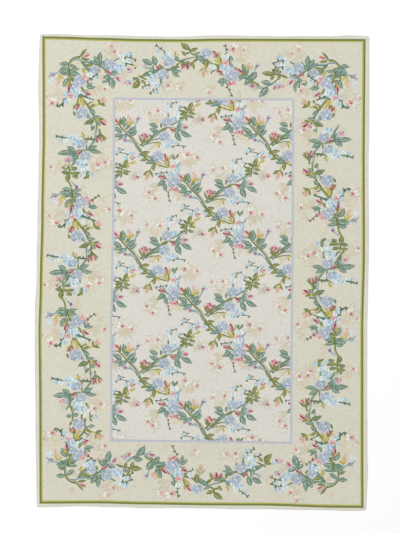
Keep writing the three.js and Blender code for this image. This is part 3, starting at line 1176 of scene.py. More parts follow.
GUARD_LINE = WovenLine(
    left=((-235, 158.2), (-142, 157.9), (-60, 159.2), (18, 160.9), (58, 162.0), (138, 161.3), (230, 161.0)),
    right=((-232, 162.9), (-102, 162.1), (-22, 162.4), (58, 160.7), (178, 160.7), (235, 160.9)),
    top=((-158, 234.6), (-142, 234.2), (-102, 233.0), (-62, 231.9), (-22, 231.5), (18, 232.2), (163, 231.8)),
    bottom=((-161, 230.7), (-102, 230.4), (-62, 231.4), (18, 232.5), (58, 232.6), (138, 234.8), (161, 235.0)),
)
FRAME_LINE = WovenLine(
    left=((-173, 87.5), (-112, 87.7), (-56, 88.4), (0, 89.2), (56, 90.4), (169, 90.3)),
    right=((-173, 91.6), (-84, 91.2), (0, 90.7), (90, 89.9), (170, 89.5)),
    top=((-88, 173.2), (-17, 172.6), (3, 173.0), (91, 172.3)),
    bottom=((-90, 168.5), (-17, 169.3), (43, 170.1), (90, 170.9)),
)
GUARD_DARK_WIDTH = 2.0
GUARD_LIGHT_WIDTH = 1.2
FRAME_WIDTH = 2.3


@dataclass(frozen=True)
class Area:
    """A patch in its place on the rug: its outline in metres, its wool and its tone.

    Where it has a ground, it shows on that ground alone.
    """

    outline: Outline
    yarn: Yarn
    tone: float = 1.0
    ground: Yarn | None = None


@dataclass
class RugDesign:
    """Everything that is woven on the rug's face, from the margin to the last petal."""

    seed: int = 7
    wander: float = 0.22
    tone_spread: float = 0.045

    def areas(self) -> list[Area]:
        """Lays out the grounds, lines and motifs.

        Returns:
            The areas, the lowest first.
        """
        hand = random.Random(self.seed)
        half_dark = GUARD_DARK_WIDTH / 2
        areas = [
            self.ground(GUARD_LINE, -half_dark, Yarn.GUARD_DARK),
            self.ground(GUARD_LINE, half_dark, Yarn.GUARD_LIGHT),
            self.ground(GUARD_LINE, half_dark + GUARD_LIGHT_WIDTH, Yarn.BORDER),
        ]
        for placement in GARLANDS:
            areas += self.placed(placement, hand, Yarn.BORDER)
        areas.append(self.ground(FRAME_LINE, -FRAME_WIDTH / 2, Yarn.FRAME))
        areas.append(self.ground(FRAME_LINE, FRAME_WIDTH / 2, Yarn.FIELD))
        for placement in self.trellis():
            areas += self.placed(placement, hand, Yarn.FIELD)
        return areas

    def ground(self, line: WovenLine, inward: float, yarn: Yarn) -> Area:
        """Returns the area of one wool that starts so many squares inside a line."""
        return Area(on_rug(line.outline(inward)), yarn)

    def trellis(self) -> list[Placement]:
        """Repeats the trellis unit in half-drop over the field.

        Returns:
            The placements near enough to reach into the field.
        """
        found = []
        for column in TRELLIS_COLUMNS:
            for row in TRELLIS_ROWS:
                right = TRELLIS_JOINT[0] + TRELLIS_STEP[0] * column
                down = TRELLIS_JOINT[1] + TRELLIS_STEP[1] * column + TRELLIS_RISE * row
                if abs(right) < TRELLIS_REACH[0] and abs(down) < TRELLIS_REACH[1]:
                    found.append(Placement(TRELLIS, right, down))
        return found

    def placed(self, placement: Placement, hand: random.Random, ground: Yarn) -> list[Area]:
        """Draws a chart in its place.

        Args:
            placement: The chart and its place.
            hand: Moves and tones each motif a little, as handwork does.
            ground: The ground that the chart shows on.

        Returns:
            The areas of its motifs, in the field only those that reach into it.
        """
        across, along = placement.turned.value
        areas = []
        for motif in placement.chart:
            shift = hand.uniform(-self.wander, self.wander), hand.uniform(-self.wander, self.wander)
            tone = 1.0 + hand.uniform(-self.tone_spread, self.tone_spread)
            for patch in motif.patches(hand):
                squares = [
                    (placement.right + across * x + shift[0], placement.down + along * y + shift[1])
                    for x, y in patch.outline
                ]
                if ground is Yarn.FIELD and not self.reaches_field(squares):
                    continue
                areas.append(Area(on_rug(squares), patch.yarn, tone, ground))
        return areas

    def reaches_field(self, squares: Outline) -> bool:
        """Returns whether an outline has a point inside the field."""
        top, bottom = FIELD_ENDS
        return any(abs(right) < FIELD_HALF_WIDTH and top < down < bottom for right, down in squares)


def on_rug(squares: Outline) -> Outline:
    """Puts an outline from the chart on the rug.

    Args:
        squares: The outline in chart squares, right and down from the chart's middle.

    Returns:
        The outline in metres from the rug's middle, anticlockwise.
    """
    middle_right, middle_down = CHART_MIDDLE
    outline = [((right + middle_right) * SQUARE, -(down + middle_down) * SQUARE) for right, down in squares]
    area = sum(x0 * y1 - x1 * y0 for (x0, y0), (x1, y1) in zip(outline, outline[1:] + outline[:1]))
    return outline if area > 0 else outline[::-1]


@dataclass
class Rings:
    """The rings of points round the solid's edge, from its underside to the rim of its flat top."""

    lower: list[np.ndarray]
    crown: list[np.ndarray]
    digits = 6
    height_digits = 5

    @classmethod
    def of(cls, node: bpy.types.Object) -> "Rings":
        """Sorts the solid's points into rings.

        Args:
            node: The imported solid.

        Returns:
            Its rings, each anticlockwise: the lower ones up to the widest, and the crown's from there inward.
        """
        points = {tuple(round(value, cls.digits) for value in vertex.co) for vertex in node.data.vertices}
        by_height: dict[float, list[tuple[float, float, float]]] = {}
        for point in points:
            by_height.setdefault(round(point[2], cls.height_digits), []).append(point)
        rings = [np.array(sorted(ring, key=lambda p: math.atan2(p[1], p[0]))) for ring in by_height.values()]
        widest = max(rings, key=lambda ring: ring[:, 0].max())
        rings = [in_step(ring, widest) for ring in rings]
        level = widest[0, 2]
        lower = sorted((ring for ring in rings if ring[0, 2] <= level), key=lambda ring: ring[0, 2])
        crown = sorted((ring for ring in rings if ring[0, 2] > level), key=lambda ring: -ring[:, 0].max())
        return cls(lower, crown)

    def unrolled(self) -> list[np.ndarray]:
        """Lays the lower rings out flat around the crown.

        Returns:
            For each lower ring, from the widest down, the flat places of its points.
        """
        outward = self.lower[-1][:, :2] - self.crown[-1][:, :2]
        outward /= np.linalg.norm(outward, axis=1, keepdims=True)
        place = self.crown[0][:, :2]
        upper = self.crown[0]
        flat = []
        for ring in self.lower[::-1]:
            place = place + outward * np.linalg.norm(upper - ring, axis=1, keepdims=True)
            flat.append(place)
            upper = ring
        return flat


def in_step(ring: np.ndarray, guide: np.ndarray) -> np.ndarray:
    """Starts a ring at the point nearest to another ring's first."""
    distance = np.linalg.norm(ring[:, :2] - guide[0, :2], axis=1)
    return np.roll(ring, -int(distance.argmin()), axis=0)


def heights(rings: list[np.ndarray], places: np.ndarray) -> np.ndarray:
    """Reads how high the cloth is at some places, from how far inside its outermost ring they are.

    Args:
        rings: The rings of a face, from outside in.
        places: The places.

    Returns:
        Their heights.
    """
    outer = rings[0][:, :2]
    depth = np.full(len(places), np.inf)
    for start, step in zip(outer, np.roll(outer, -1, axis=0) - outer):
        share = np.clip((places - start) @ step / (step @ step), 0.0, 1.0)
        depth = np.minimum(depth, np.linalg.norm(places - start - share[:, None] * step, axis=1))
    insets = [float(np.median(np.linalg.norm(outer - ring[:, :2], axis=1))) for ring in rings]
    return np.interp(depth, insets, [ring[0, 2] for ring in rings])


def shared_edges(triangles: np.ndarray) -> tuple[np.ndarray, np.ndarray]:
    """Finds the edges at which two triangles meet.

    Args:
        triangles: The corners of each triangle.

    Returns:
        The two ends of each such edge, the lower number first, and the two triangles beside it.
    """
    edges = np.sort(np.concatenate([triangles[:, pair] for pair in ([0, 1], [1, 2], [2, 0])]), axis=1)
    beside = np.tile(np.arange(len(triangles)), 3)
    order = np.lexsort(edges.T)
    edges, beside = edges[order], beside[order]
    met = np.flatnonzero((edges[1:] == edges[:-1]).all(axis=1))
    return edges[met], np.stack([beside[met], beside[met + 1]], axis=1)


def pieces(count: int, joined: np.ndarray) -> np.ndarray:
    """Finds which triangles hang together.

    Args:
        count: How many triangles there are.
        joined: The pairs of triangles that nothing parts.

    Returns:
        For each triangle the number of its piece, which is that of the piece's first triangle.
    """
    piece = np.arange(count)
    while True:
        lower = piece.copy()
        np.minimum.at(lower, piece[joined], piece[joined].min(axis=1, keepdims=True))
        lower = lower[lower]
        if np.array_equal(lower, piece):
            return piece
        piece = lower


def heaviest(partners: np.ndarray, weights: np.ndarray) -> tuple[np.ndarray, np.ndarray]:
    """Sorts pairs by the weight that each has in all, so that the last partner of each is its heaviest.

    Args:
        partners: The pairs, which may repeat.
        weights: The weight of each.

    Returns:
        The first and the second of each pair.
    """
    pairs, which = np.unique(partners, axis=0, return_inverse=True)
    order = np.argsort(np.bincount(which.ravel(), weights=weights), kind="stable")
    return pairs[order, 0], pairs[order, 1]


def sizes(places: np.ndarray, triangles: np.ndarray) -> np.ndarray:
    """Returns the area of each triangle."""
    first, second = (places[triangles[:, corner]] - places[triangles[:, 0]] for corner in (1, 2))
    return np.abs(first[:, 0] * second[:, 1] - first[:, 1] * second[:, 0]) / 2


def strung(edges: np.ndarray) -> list[list[int]]:
    """Strings edges into lines from joint to joint, and into rings where there is no joint.

    Args:
        edges: The two ends of each edge.

    Returns:
        The points of each line. A ring ends at the point that it starts from.
    """
    near: dict[int, list[int]] = {}
    for start, end in edges.tolist():
        near.setdefault(start, []).append(end)
        near.setdefault(end, []).append(start)
    joints = {place for place, ends in near.items() if len(ends) != 2}
    lines = []
    for start in sorted(near, key=lambda place: place not in joints):
        while near[start]:
            line = [start]
            while len(line) == 1 or (line[-1] not in joints and near[line[-1]]):
                here = line[-1]
                line.append(near[here].pop())
                near[line[-1]].remove(here)
            lines.append(line)
    return lines


def thinned(line: np.ndarray, leeway: float) -> np.ndarray:
    """Drops the points that a line can do without.

    Args:
        line: Its points.
        leeway: How far the line may move.

    Returns:
        The points that are kept.
    """
    last = len(line) - 1
    kept = [0, last // 2, last] if np.array_equal(line[0], line[last]) else [0, last]
    spans = list(zip(kept, kept[1:]))
    while spans:
        start, end = spans.pop()
        between = line[start + 1:end] - line[start]
        if not len(between):
            continue
        step = line[end] - line[start]
        share = np.clip(between @ step / max(step @ step, leeway ** 2), 0.0, 1.0)
        distance = np.linalg.norm(between - share[:, None] * step, axis=1)
        farthest = start + 1 + int(distance.argmax())
        if distance.max() > leeway:
            kept.append(farthest)
            spans += [(start, farthest), (farthest, end)]
    return line[sorted(kept)]


@dataclass
class Inlay:
    """The areas cut out of one another, so that only what shows is left, each piece in one wool."""

    areas: list[Area]
    smallest: float = 4e-6
    leeway: float = 0.0003
    same_point: float = 1e-6
    places: np.ndarray = field(init=False)
    triangles: np.ndarray = field(init=False)
    wools: np.ndarray = field(init=False)

    def __post_init__(self) -> None:
        """Cuts the areas along all their outlines and finds the one that shows on each triangle."""
        points = [Vector(point) for area in self.areas for point in area.outline]
        ends = np.cumsum([len(area.outline) for area in self.areas]).tolist()
        outlines = [list(range(start, end)) for start, end in zip([0, *ends], ends)]
        cut = delaunay_2d_cdt(points, [], outlines, 1, self.same_point, True)
        kept = [(corners, owners) for corners, owners in zip(cut[2], cut[5]) if owners]
        self.places = np.array([tuple(place) for place in cut[0]])
        self.triangles = np.array([corners for corners, _ in kept])
        alike: dict[tuple[Yarn, float], int] = {}
        same_wool = [
            alike.setdefault((area.yarn, area.tone), number) for number, area in enumerate(self.areas)
        ]
        self.wools = np.array([same_wool[self.topmost(owners)] for _, owners in kept])
        self.give_away_scraps()

    def topmost(self, owners: list[int]) -> int:
        """Returns which of the areas that hold a triangle shows on it."""
        grounds = {None, *(self.areas[owner].yarn for owner in owners)}
        return max(owner for owner in owners if self.areas[owner].ground in grounds)

    def give_away_scraps(self) -> None:
        """Gives each piece that is too small to weave to the one beside it with the longest shared edge."""
        edges, beside = shared_edges(self.triangles)
        lengths = np.linalg.norm(self.places[edges[:, 0]] - self.places[edges[:, 1]], axis=1)
        parted = self.wools[beside[:, 0]] != self.wools[beside[:, 1]]
        piece = pieces(len(self.triangles), beside[~parted])
        size = np.bincount(piece, weights=sizes(self.places, self.triangles), minlength=len(piece))
        one_way = piece[beside[parted]]
        both_ways = np.concatenate([one_way, one_way[:, ::-1]])
        scrap = (size[both_ways[:, 0]] < self.smallest) & (size[both_ways[:, 1]] > size[both_ways[:, 0]])
        givers, takers = heaviest(both_ways[scrap], np.tile(lengths[parted], 2)[scrap])
        taker = np.arange(len(piece))
        taker[givers] = takers
        self.wools = self.wools[taker[piece]]

    def seams(self) -> list[np.ndarray]:
        """Finds the lines between wools.

        Returns:
            The points of each line.
        """
        edges, beside = shared_edges(self.triangles)
        parted = self.wools[beside[:, 0]] != self.wools[beside[:, 1]]
        return [thinned(self.places[line], self.leeway) for line in strung(edges[parted])]

    def wools_under(self, places: np.ndarray, triangles: np.ndarray, piece: np.ndarray) -> list[Area]:
        """Finds the wool of each triangle of another cut, which is the same all over a piece.

        Args:
            places: The points of that cut.
            triangles: Its triangles.
            piece: The piece that each belongs to.

        Returns:
            The area whose wool shows on each.
        """
        tree = BVHTree.FromPolygons([(x, y, 0.0) for x, y in self.places], self.triangles.tolist())
        middles = places[triangles].mean(axis=1)
        under = [self.wools[tree.find_nearest((x, y, 0.0))[2]] for x, y in middles]
        shown, wools = heaviest(np.stack([piece, under], axis=1), sizes(places, triangles))
        wool = np.zeros(len(piece), int)
        wool[shown] = wools
        return [self.areas[number] for number in wool[piece]]


@dataclass
class RugCloth:
    """The woven rug: its face is cut along every seam between two wools."""

    rings: Rings
    design: RugDesign
    face_grid: float = 0.06
    under_grid: float = 0.15
    same_point: float = 1e-6
    chart_share: float = 0.88
    chart_gap: float = 0.004
    vertices: list[tuple[float, float, float]] = field(default_factory=list)
    faces: list[list[int]] = field(default_factory=list)

    def build(self) -> bpy.types.Object:
        """Makes the rug's mesh with its wools and its own unwrapped map.

        Returns:
            The rug.
        """
        crown = self.rings.crown
        inlay = Inlay([Area(as_outline(crown[0]), Yarn.MARGIN), *self.design.areas()])
        above, piece = self.cut_face(crown, inlay.seams(), self.face_grid)
        wools = inlay.wools_under(np.array(self.vertices)[:, :2], np.array(self.faces), piece)
        top_height = crown[-1][0, 2]
        smooth = [
            any(abs(self.vertices[corner][2] - top_height) > self.same_point for corner in face)
            for face in self.faces
        ]
        places = [vertex[:2] for vertex in self.vertices]
        for ring, spread in zip(self.rings.lower[::-1], self.rings.unrolled()):
            start = len(self.vertices)
            self.vertices += [tuple(point) for point in ring]
            places += [tuple(place) for place in spread]
            below = list(range(start, start + len(ring)))
            self.faces += walls(below, above)
            above = below
        seen_from_above = len(self.faces)
        smooth += [True] * (seen_from_above - len(smooth))
        self.close_underside(above)
        smooth += [False] * (len(self.faces) - seen_from_above)
        places += [vertex[:2] for vertex in self.vertices[len(places):]]
        wools += [inlay.areas[0]] * (len(self.faces) - len(wools))
        mesh = bpy.data.meshes.new("rug_cloth")
        mesh.from_pydata(self.vertices, [], self.faces)
        self.colour(mesh, wools)
        self.unwrap(mesh, np.array(places), seen_from_above)
        mesh.polygons.foreach_set("use_smooth", smooth)
        mesh.update()
        return linked("rug_cloth", mesh)

    def cut_face(
        self, rings: list[np.ndarray], seams: list[np.ndarray], pitch: float
    ) -> tuple[list[int], np.ndarray]:
        """Cuts a face into triangles along its rings and seams, and adds them to the mesh.

        Args:
            rings: The rings that the face's height goes by, the outermost first.
            seams: The lines between its wools.
            pitch: The spacing of the extra points that keep triangles short.

        Returns:
            The points of the outermost ring, and the piece that each triangle belongs to.
        """
        closed = [np.vstack([ring, ring[:1]]) for ring in rings]
        on_ring = np.concatenate([ring[:, 2] for ring in closed])
        points: list[Vector] = []
        lines: list[tuple[int, int]] = []
        for line in [*closed, *seams]:
            lines += [(index, index + 1) for index in range(len(points), len(points) + len(line) - 1)]
            points += [Vector(point[:2]) for point in line]
        reach = np.abs(rings[0]).max(axis=0) - pitch
        for x in spaced(reach[0], pitch):
            points += [Vector((x, y)) for y in spaced(reach[1], pitch)]
        outermost = [list(range(len(rings[0])))]
        cut = delaunay_2d_cdt(points, lines, outermost, 1, self.same_point, True)
        places, edges, corners, sources, drawn, inside = cut
        corners = [triangle for triangle, owners in zip(corners, inside) if owners]
        level = heights(rings, np.array([tuple(place) for place in places]))
        base = len(self.vertices)
        rim: dict[int, int] = {}
        for index, (place, group) in enumerate(zip(places, sources)):
            known = [source for source in group if source < len(on_ring)]
            height = on_ring[known[0]] if known else level[index]
            rim.update({source: base + index for source in known})
            self.vertices.append((place.x, place.y, float(height)))
        self.faces += [[base + corner for corner in triangle] for triangle in corners]
        parting = {tuple(sorted(edge)) for edge, line in zip(edges, drawn) if line}
        ends, beside = shared_edges(np.array(corners))
        joined = beside[[tuple(edge) not in parting for edge in ends.tolist()]]
        return [rim[index] for index in range(len(rings[0]))], pieces(len(corners), joined)

    def close_underside(self, rim: list[int]) -> None:
        """Fills the flat underside inside its rim.

        Args:
            rim: The points of the lowest ring.
        """
        ring = self.rings.lower[0]
        start, first_face = len(self.vertices), len(self.faces)
        own_rim, _ = self.cut_face([ring], [], self.under_grid)
        shared = dict(zip(own_rim, rim))
        kept = [index for index in range(start, len(self.vertices)) if index not in shared]
        shared.update({index: start + order for order, index in enumerate(kept)})
        self.vertices[start:] = [self.vertices[index] for index in kept]
        self.faces[first_face:] = [
            [shared[corner] for corner in face[::-1]] for face in self.faces[first_face:]
        ]

    def colour(self, mesh: bpy.types.Mesh, wools: list[Area]) -> None:
        """Writes each face's wool as a colour.

        Args:
            mesh: The rug's mesh.
            wools: The area that shows on each face.
        """
        shades = {yarn: yarn.linear() for yarn in Yarn}
        per_face = np.array([shades[area.yarn] * (area.tone, area.tone, area.tone, 1.0) for area in wools])
        corners = np.repeat(per_face, [len(face) for face in self.faces], axis=0)
        attribute = mesh.color_attributes.new(name="wool", type="FLOAT_COLOR", domain="CORNER")
        attribute.data.foreach_set("color", corners.astype(np.float32).ravel())

    def unwrap(self, mesh: bpy.types.Mesh, places: np.ndarray, seen_from_above: int) -> None:
        """Lays the top and edges over most of the map and the underside over a strip of it.

        Args:
            mesh: The rug's mesh.
            places: The flat place of each point.
            seen_from_above: How many faces come before those of the underside.
        """
        corners = np.concatenate([np.array(face) for face in self.faces])
        counts = np.array([len(face) for face in self.faces])
        from_above = np.repeat(np.arange(len(self.faces)) < seen_from_above, counts)
        span = np.abs(places).max(axis=0)
        share = (places[corners] / span + 1) / 2 * (1 - 2 * self.chart_gap) + self.chart_gap
        upper = share * (1.0, self.chart_share) + (0.0, 1 - self.chart_share)
        lower = share * (1.0, 1 - self.chart_share - self.chart_gap)
        layer = mesh.uv_layers.new(name="OFBake")
        layer.data.foreach_set("uv", np.where(from_above[:, None], upper, lower).astype(np.float32).ravel())


def linked(name: str, data: bpy.types.ID) -> bpy.types.Object:
    """Makes an object and links it to the scene.

    Args:
        name: Its name.
        data: Its mesh, light or camera.

    Returns:
        The object.
    """
    made = bpy.data.objects.new(name, data)
    bpy.context.scene.collection.objects.link(made)
    return made


def as_outline(ring: np.ndarray) -> Outline:
    """Returns a ring's points seen from above."""
    return [(float(x), float(y)) for x, y, _ in ring]


def spaced(reach: float, pitch: float) -> list[float]:
    """Returns places from minus to plus a reach, a pitch or so apart."""
    count = round(2 * reach / pitch)
    return [-reach + 2 * reach * index / count for index in range(count + 1)]


def walls(below: list[int], above: list[int]) -> list[list[int]]:
    """Joins two rings of points with outward faces.

    Args:
        below: The lower ring.
        above: The upper ring.

    Returns:
        The faces.
    """
    count = len(below)
    pairs = zip(range(count), [*range(1, count), 0])
    return [[below[step], below[after], above[after], above[step]] for step, after in pairs]


Value = bpy.types.NodeSocket | float | tuple[float, ...] | bpy.types.Material


@dataclass
class Bench:
    """A node tree in the making."""

    tree: bpy.types.NodeTree

    @classmethod
    def group(cls, name: str, kind: str, inputs: dict[str, Value], outcomes: dict[str, str]) -> "Bench":
        """Starts a node group with named sockets.

        Args:
            name: The group's name.
            kind: The type of its tree.
            inputs: The sockets that go in, each with its usual value, or with its type where it has none.
            outcomes: The sockets that come out, each with its type.

        Returns:
            The bench with the empty group on it.
        """
        tree = bpy.data.node_groups.new(name, kind)
        for label, value in inputs.items():
            if isinstance(value, str):
                tree.interface.new_socket(name=label, in_out="INPUT", socket_type=value)
                continue
            socket = tree.interface.new_socket(name=label, in_out="INPUT", socket_type="NodeSocketFloat")
            socket.default_value = value
        for label, socket_type in outcomes.items():
            tree.interface.new_socket(name=label, in_out="OUTPUT", socket_type=socket_type)
        return cls(tree)

    def node(
        self, kind: str, inputs: dict[str | int, Value] | None = None, **options: object
    ) -> bpy.types.Node:
        """Adds a node.

        Args:
            kind: Its type.
            inputs: What goes into its sockets, by name or number.
            options: Its settings.

        Returns:
            The node.
        """
        node = self.tree.nodes.new(kind)
        for option, setting in options.items():
            setattr(node, option, setting)
        for key, value in (inputs or {}).items():
            if isinstance(value, bpy.types.NodeSocket):
                self.tree.links.new(value, node.inputs[key])
            else:
                node.inputs[key].default_value = value
        return node

    def math(self, operation: str, *values: Value) -> bpy.types.NodeSocket:
        """Returns the outcome of a sum on one to three values."""
        return self.node("ShaderNodeMath", dict(enumerate(values)), operation=operation).outputs[0]

    def noise(self, places: Value, scale: float, detail: float = 2.0) -> bpy.types.NodeSocket:
        """Returns a cloudy value between 0 and 1, with so many clouds to the metre."""
        inputs = {"Vector": places, "Scale": scale, "Detail": detail}
        return self.node("ShaderNodeTexNoise", inputs).outputs["Fac"]

    def stretched(self, places: Value, scale: Point) -> bpy.types.NodeSocket:
        """Returns places that are scaled across and along."""
        inputs = {"Vector": places, "Scale": (*scale, 1.0)}
        return self.node("ShaderNodeMapping", inputs).outputs["Vector"]


@dataclass(frozen=True)
class Weave:
    """The ribs of the weave, which run along the warp, and the weft beaten down across them."""

    beat: float = 0.0017
    wander: float = 0.0016
    wander_stretch: Point = (1.0, 0.35)
    wander_clouds: float = 34.0
    roundness: float = 0.6
    slack: float = 1.4
    slack_clouds: float = 160.0
    beat_depth: float = 0.35

    def group(self, rib: float) -> bpy.types.NodeTree:
        """Makes the shader group.

        Args:
            rib: The usual width of a rib.

        Returns:
            The node group.
        """
        inputs = {"Places": "NodeSocketVector", "Rib": rib, "Beat": self.beat, "Wander": self.wander}
        outcomes = {"Height": "NodeSocketFloat", "Groove": "NodeSocketFloat"}
        bench = Bench.group("rug_weave", "ShaderNodeTree", inputs, outcomes)
        given = bench.node("NodeGroupInput").outputs
        across, along, _ = bench.node("ShaderNodeSeparateXYZ", {0: given["Places"]}).outputs
        stretched = bench.stretched(given["Places"], self.wander_stretch)
        drift = bench.math("SUBTRACT", bench.noise(stretched, self.wander_clouds), 0.5)
        moved = bench.math("MULTIPLY_ADD", drift, given["Wander"], across)
        rib_number = bench.math("DIVIDE", moved, given["Rib"])
        bulge = bench.math("ABSOLUTE", bench.math("SINE", bench.math("MULTIPLY", rib_number, math.pi)))
        crown = bench.math("POWER", bulge, self.roundness)
        odd = bench.math("FLOORED_MODULO", bench.math("FLOOR", rib_number), 2.0)
        turn = bench.math("MULTIPLY", odd, 0.5)
        slack = bench.math("MULTIPLY_ADD", bench.noise(given["Places"], self.slack_clouds), self.slack, turn)
        beat = bench.math("ADD", bench.math("DIVIDE", along, given["Beat"]), slack)
        swell = bench.math("SINE", bench.math("MULTIPLY", beat, math.tau))
        wave = bench.math("MULTIPLY_ADD", swell, 0.5, 0.5)
        beaten = bench.math("MULTIPLY_ADD", wave, self.beat_depth, 1.0 - self.beat_depth)
        height = bench.math("MULTIPLY", crown, beaten)
        groove = bench.math("SUBTRACT", 1.0, height)
        bench.node("NodeGroupOutput", {"Height": height, "Groove": groove})
        return bench.tree


@dataclass(frozen=True)
class DyeTakeUp:
    """The uneven take-up of dye: banded along the warp, cloudy and flecked from thread to thread."""

    bands: float = 0.05
    band_stretch: Point = (0.9, 16.0)
    clouds: float = 0.06
    cloud_scale: float = 11.0
    flecks: float = 0.34
    fleck_stretch: Point = (0.7, 1.0)
    fleck_scale: float = 150.0
    detail: float = 3.0

    def group(self) -> bpy.types.NodeTree:
        """Makes the shader group.

        Returns:
            The node group.
        """
        inputs = {
            "Places": "NodeSocketVector", "Bands": self.bands, "Clouds": self.clouds, "Flecks": self.flecks
        }
        bench = Bench.group("wool_dye", "ShaderNodeTree", inputs, {"Tone": "NodeSocketFloat"})
        given = bench.node("NodeGroupInput").outputs
        places = given["Places"]
        layers = {
            "Bands": bench.noise(bench.stretched(places, self.band_stretch), 1.0, self.detail),
            "Clouds": bench.noise(places, self.cloud_scale, self.detail),
            "Flecks": bench.noise(bench.stretched(places, self.fleck_stretch), self.fleck_scale),
        }
        tone: Value = 1.0
        for label, layer in layers.items():
            tone = bench.math("MULTIPLY_ADD", bench.math("SUBTRACT", layer, 0.5), given[label], tone)
        bench.node("NodeGroupOutput", {"Tone": tone})
        return bench.tree


@dataclass(frozen=True)
class EdgeWear:
    """The mask of the soil and rubbing that a rug takes along its edges."""

    half_width: float = 0.85
    half_length: float = 1.2
    reach: float = 0.05
    clouds: float = 22.0
    detail: float = 4.0

    def group(self) -> bpy.types.NodeTree:
        """Makes the shader group.

        Returns:
            The node group.
        """
        inputs = {
            "Places": "NodeSocketVector",
            "Half Width": self.half_width,
            "Half Length": self.half_length,
            "Reach": self.reach,
        }
        bench = Bench.group("edge_wear", "ShaderNodeTree", inputs, {"Mask": "NodeSocketFloat"})
        given = bench.node("NodeGroupInput").outputs
        across, along, _ = bench.node("ShaderNodeSeparateXYZ", {0: given["Places"]}).outputs
        from_side = bench.math("SUBTRACT", given["Half Width"], bench.math("ABSOLUTE", across))
        from_end = bench.math("SUBTRACT", given["Half Length"], bench.math("ABSOLUTE", along))
        share = bench.math("DIVIDE", bench.math("MINIMUM", from_side, from_end), given["Reach"])
        near = bench.math("SUBTRACT", 1.0, bench.math("MINIMUM", bench.math("MAXIMUM", share, 0.0), 1.0))
        broken = bench.noise(given["Places"], self.clouds, self.detail)
        bench.node("NodeGroupOutput", {"Mask": bench.math("MULTIPLY", near, broken)})
        return bench.tree


@dataclass(frozen=True)
class WoolFinish:
    """Hand-spun wool, matt and a little hairy, woven in ribs."""

    name: str
    weave: bpy.types.NodeTree
    dye: bpy.types.NodeTree
    wear: bpy.types.NodeTree
    plain: Yarn | None = None
    rib: float = RIB
    relief: float = 0.0006
    relief_strength: float = 0.6
    waves: float = 2.0
    wave_clouds: float = 24.0
    painted_groove_shade: float = 0.10
    soil: float = 0.10
    roughness: float = 0.86
    specular: float = 0.15
    sheen: float = 0.12
    sheen_roughness: float = 0.6

    def material(self) -> bpy.types.Material:
        """Makes the wool, in the colours of the face's chart or in one plain colour.

        Returns:
            The material.
        """
        material = bpy.data.materials.new(self.name)
        material.use_nodes = True
        bench = Bench(material.node_tree)
        shader = bench.tree.nodes["Principled BSDF"]
        places = bench.node("ShaderNodeTexCoord").outputs["Object"]
        groups = (self.weave, self.dye, self.wear)
        weave, dye, wear = (
            bench.node("ShaderNodeGroup", {"Places": places}, node_tree=group) for group in groups
        )
        weave.inputs["Rib"].default_value = self.rib
        groove = weave.outputs["Groove"]
        # Painted shade: the colour is darkened in the grooves between the weave's ribs, where shade falls.
        shaded = bench.math("MULTIPLY_ADD", groove, -self.painted_groove_shade, 1.0)
        clean = bench.math("MULTIPLY_ADD", wear.outputs["Mask"], -self.soil, 1.0)
        tone = bench.math("MULTIPLY", bench.math("MULTIPLY", dye.outputs["Tone"], shaded), clean)
        colour = self.colour(bench)
        scaled = bench.node("ShaderNodeVectorMath", {0: colour, "Scale": tone}, operation="SCALE")
        rough = bench.math("MULTIPLY_ADD", groove, 1.0 - self.roughness, self.roughness)
        waves = bench.noise(places, self.wave_clouds)
        lift = bench.math("MULTIPLY_ADD", waves, self.waves, weave.outputs["Height"])
        relief = {"Height": lift, "Strength": self.relief_strength, "Distance": self.relief}
        bump = bench.node("ShaderNodeBump", relief)
        sockets = {"Base Color": scaled.outputs[0], "Roughness": rough, "Normal": bump.outputs[0]}
        for label, socket in sockets.items():
            bench.tree.links.new(socket, shader.inputs[label])
        shader.inputs["Specular IOR Level"].default_value = self.specular
        shader.inputs["Sheen Weight"].default_value = self.sheen
        shader.inputs["Sheen Roughness"].default_value = self.sheen_roughness
        return material

    def colour(self, bench: Bench) -> Value:
        """Finds the colour before dye, the weave's painted groove shade and wear change it.

        Args:
            bench: The material's node tree.

        Returns:
            The socket of the face's chart, or the plain colour.
        """
        if self.plain is None:
            return bench.node("ShaderNodeAttribute", attribute_name="wool").outputs["Color"]
        return tuple(float(share) for share in self.plain.linear()[:3])


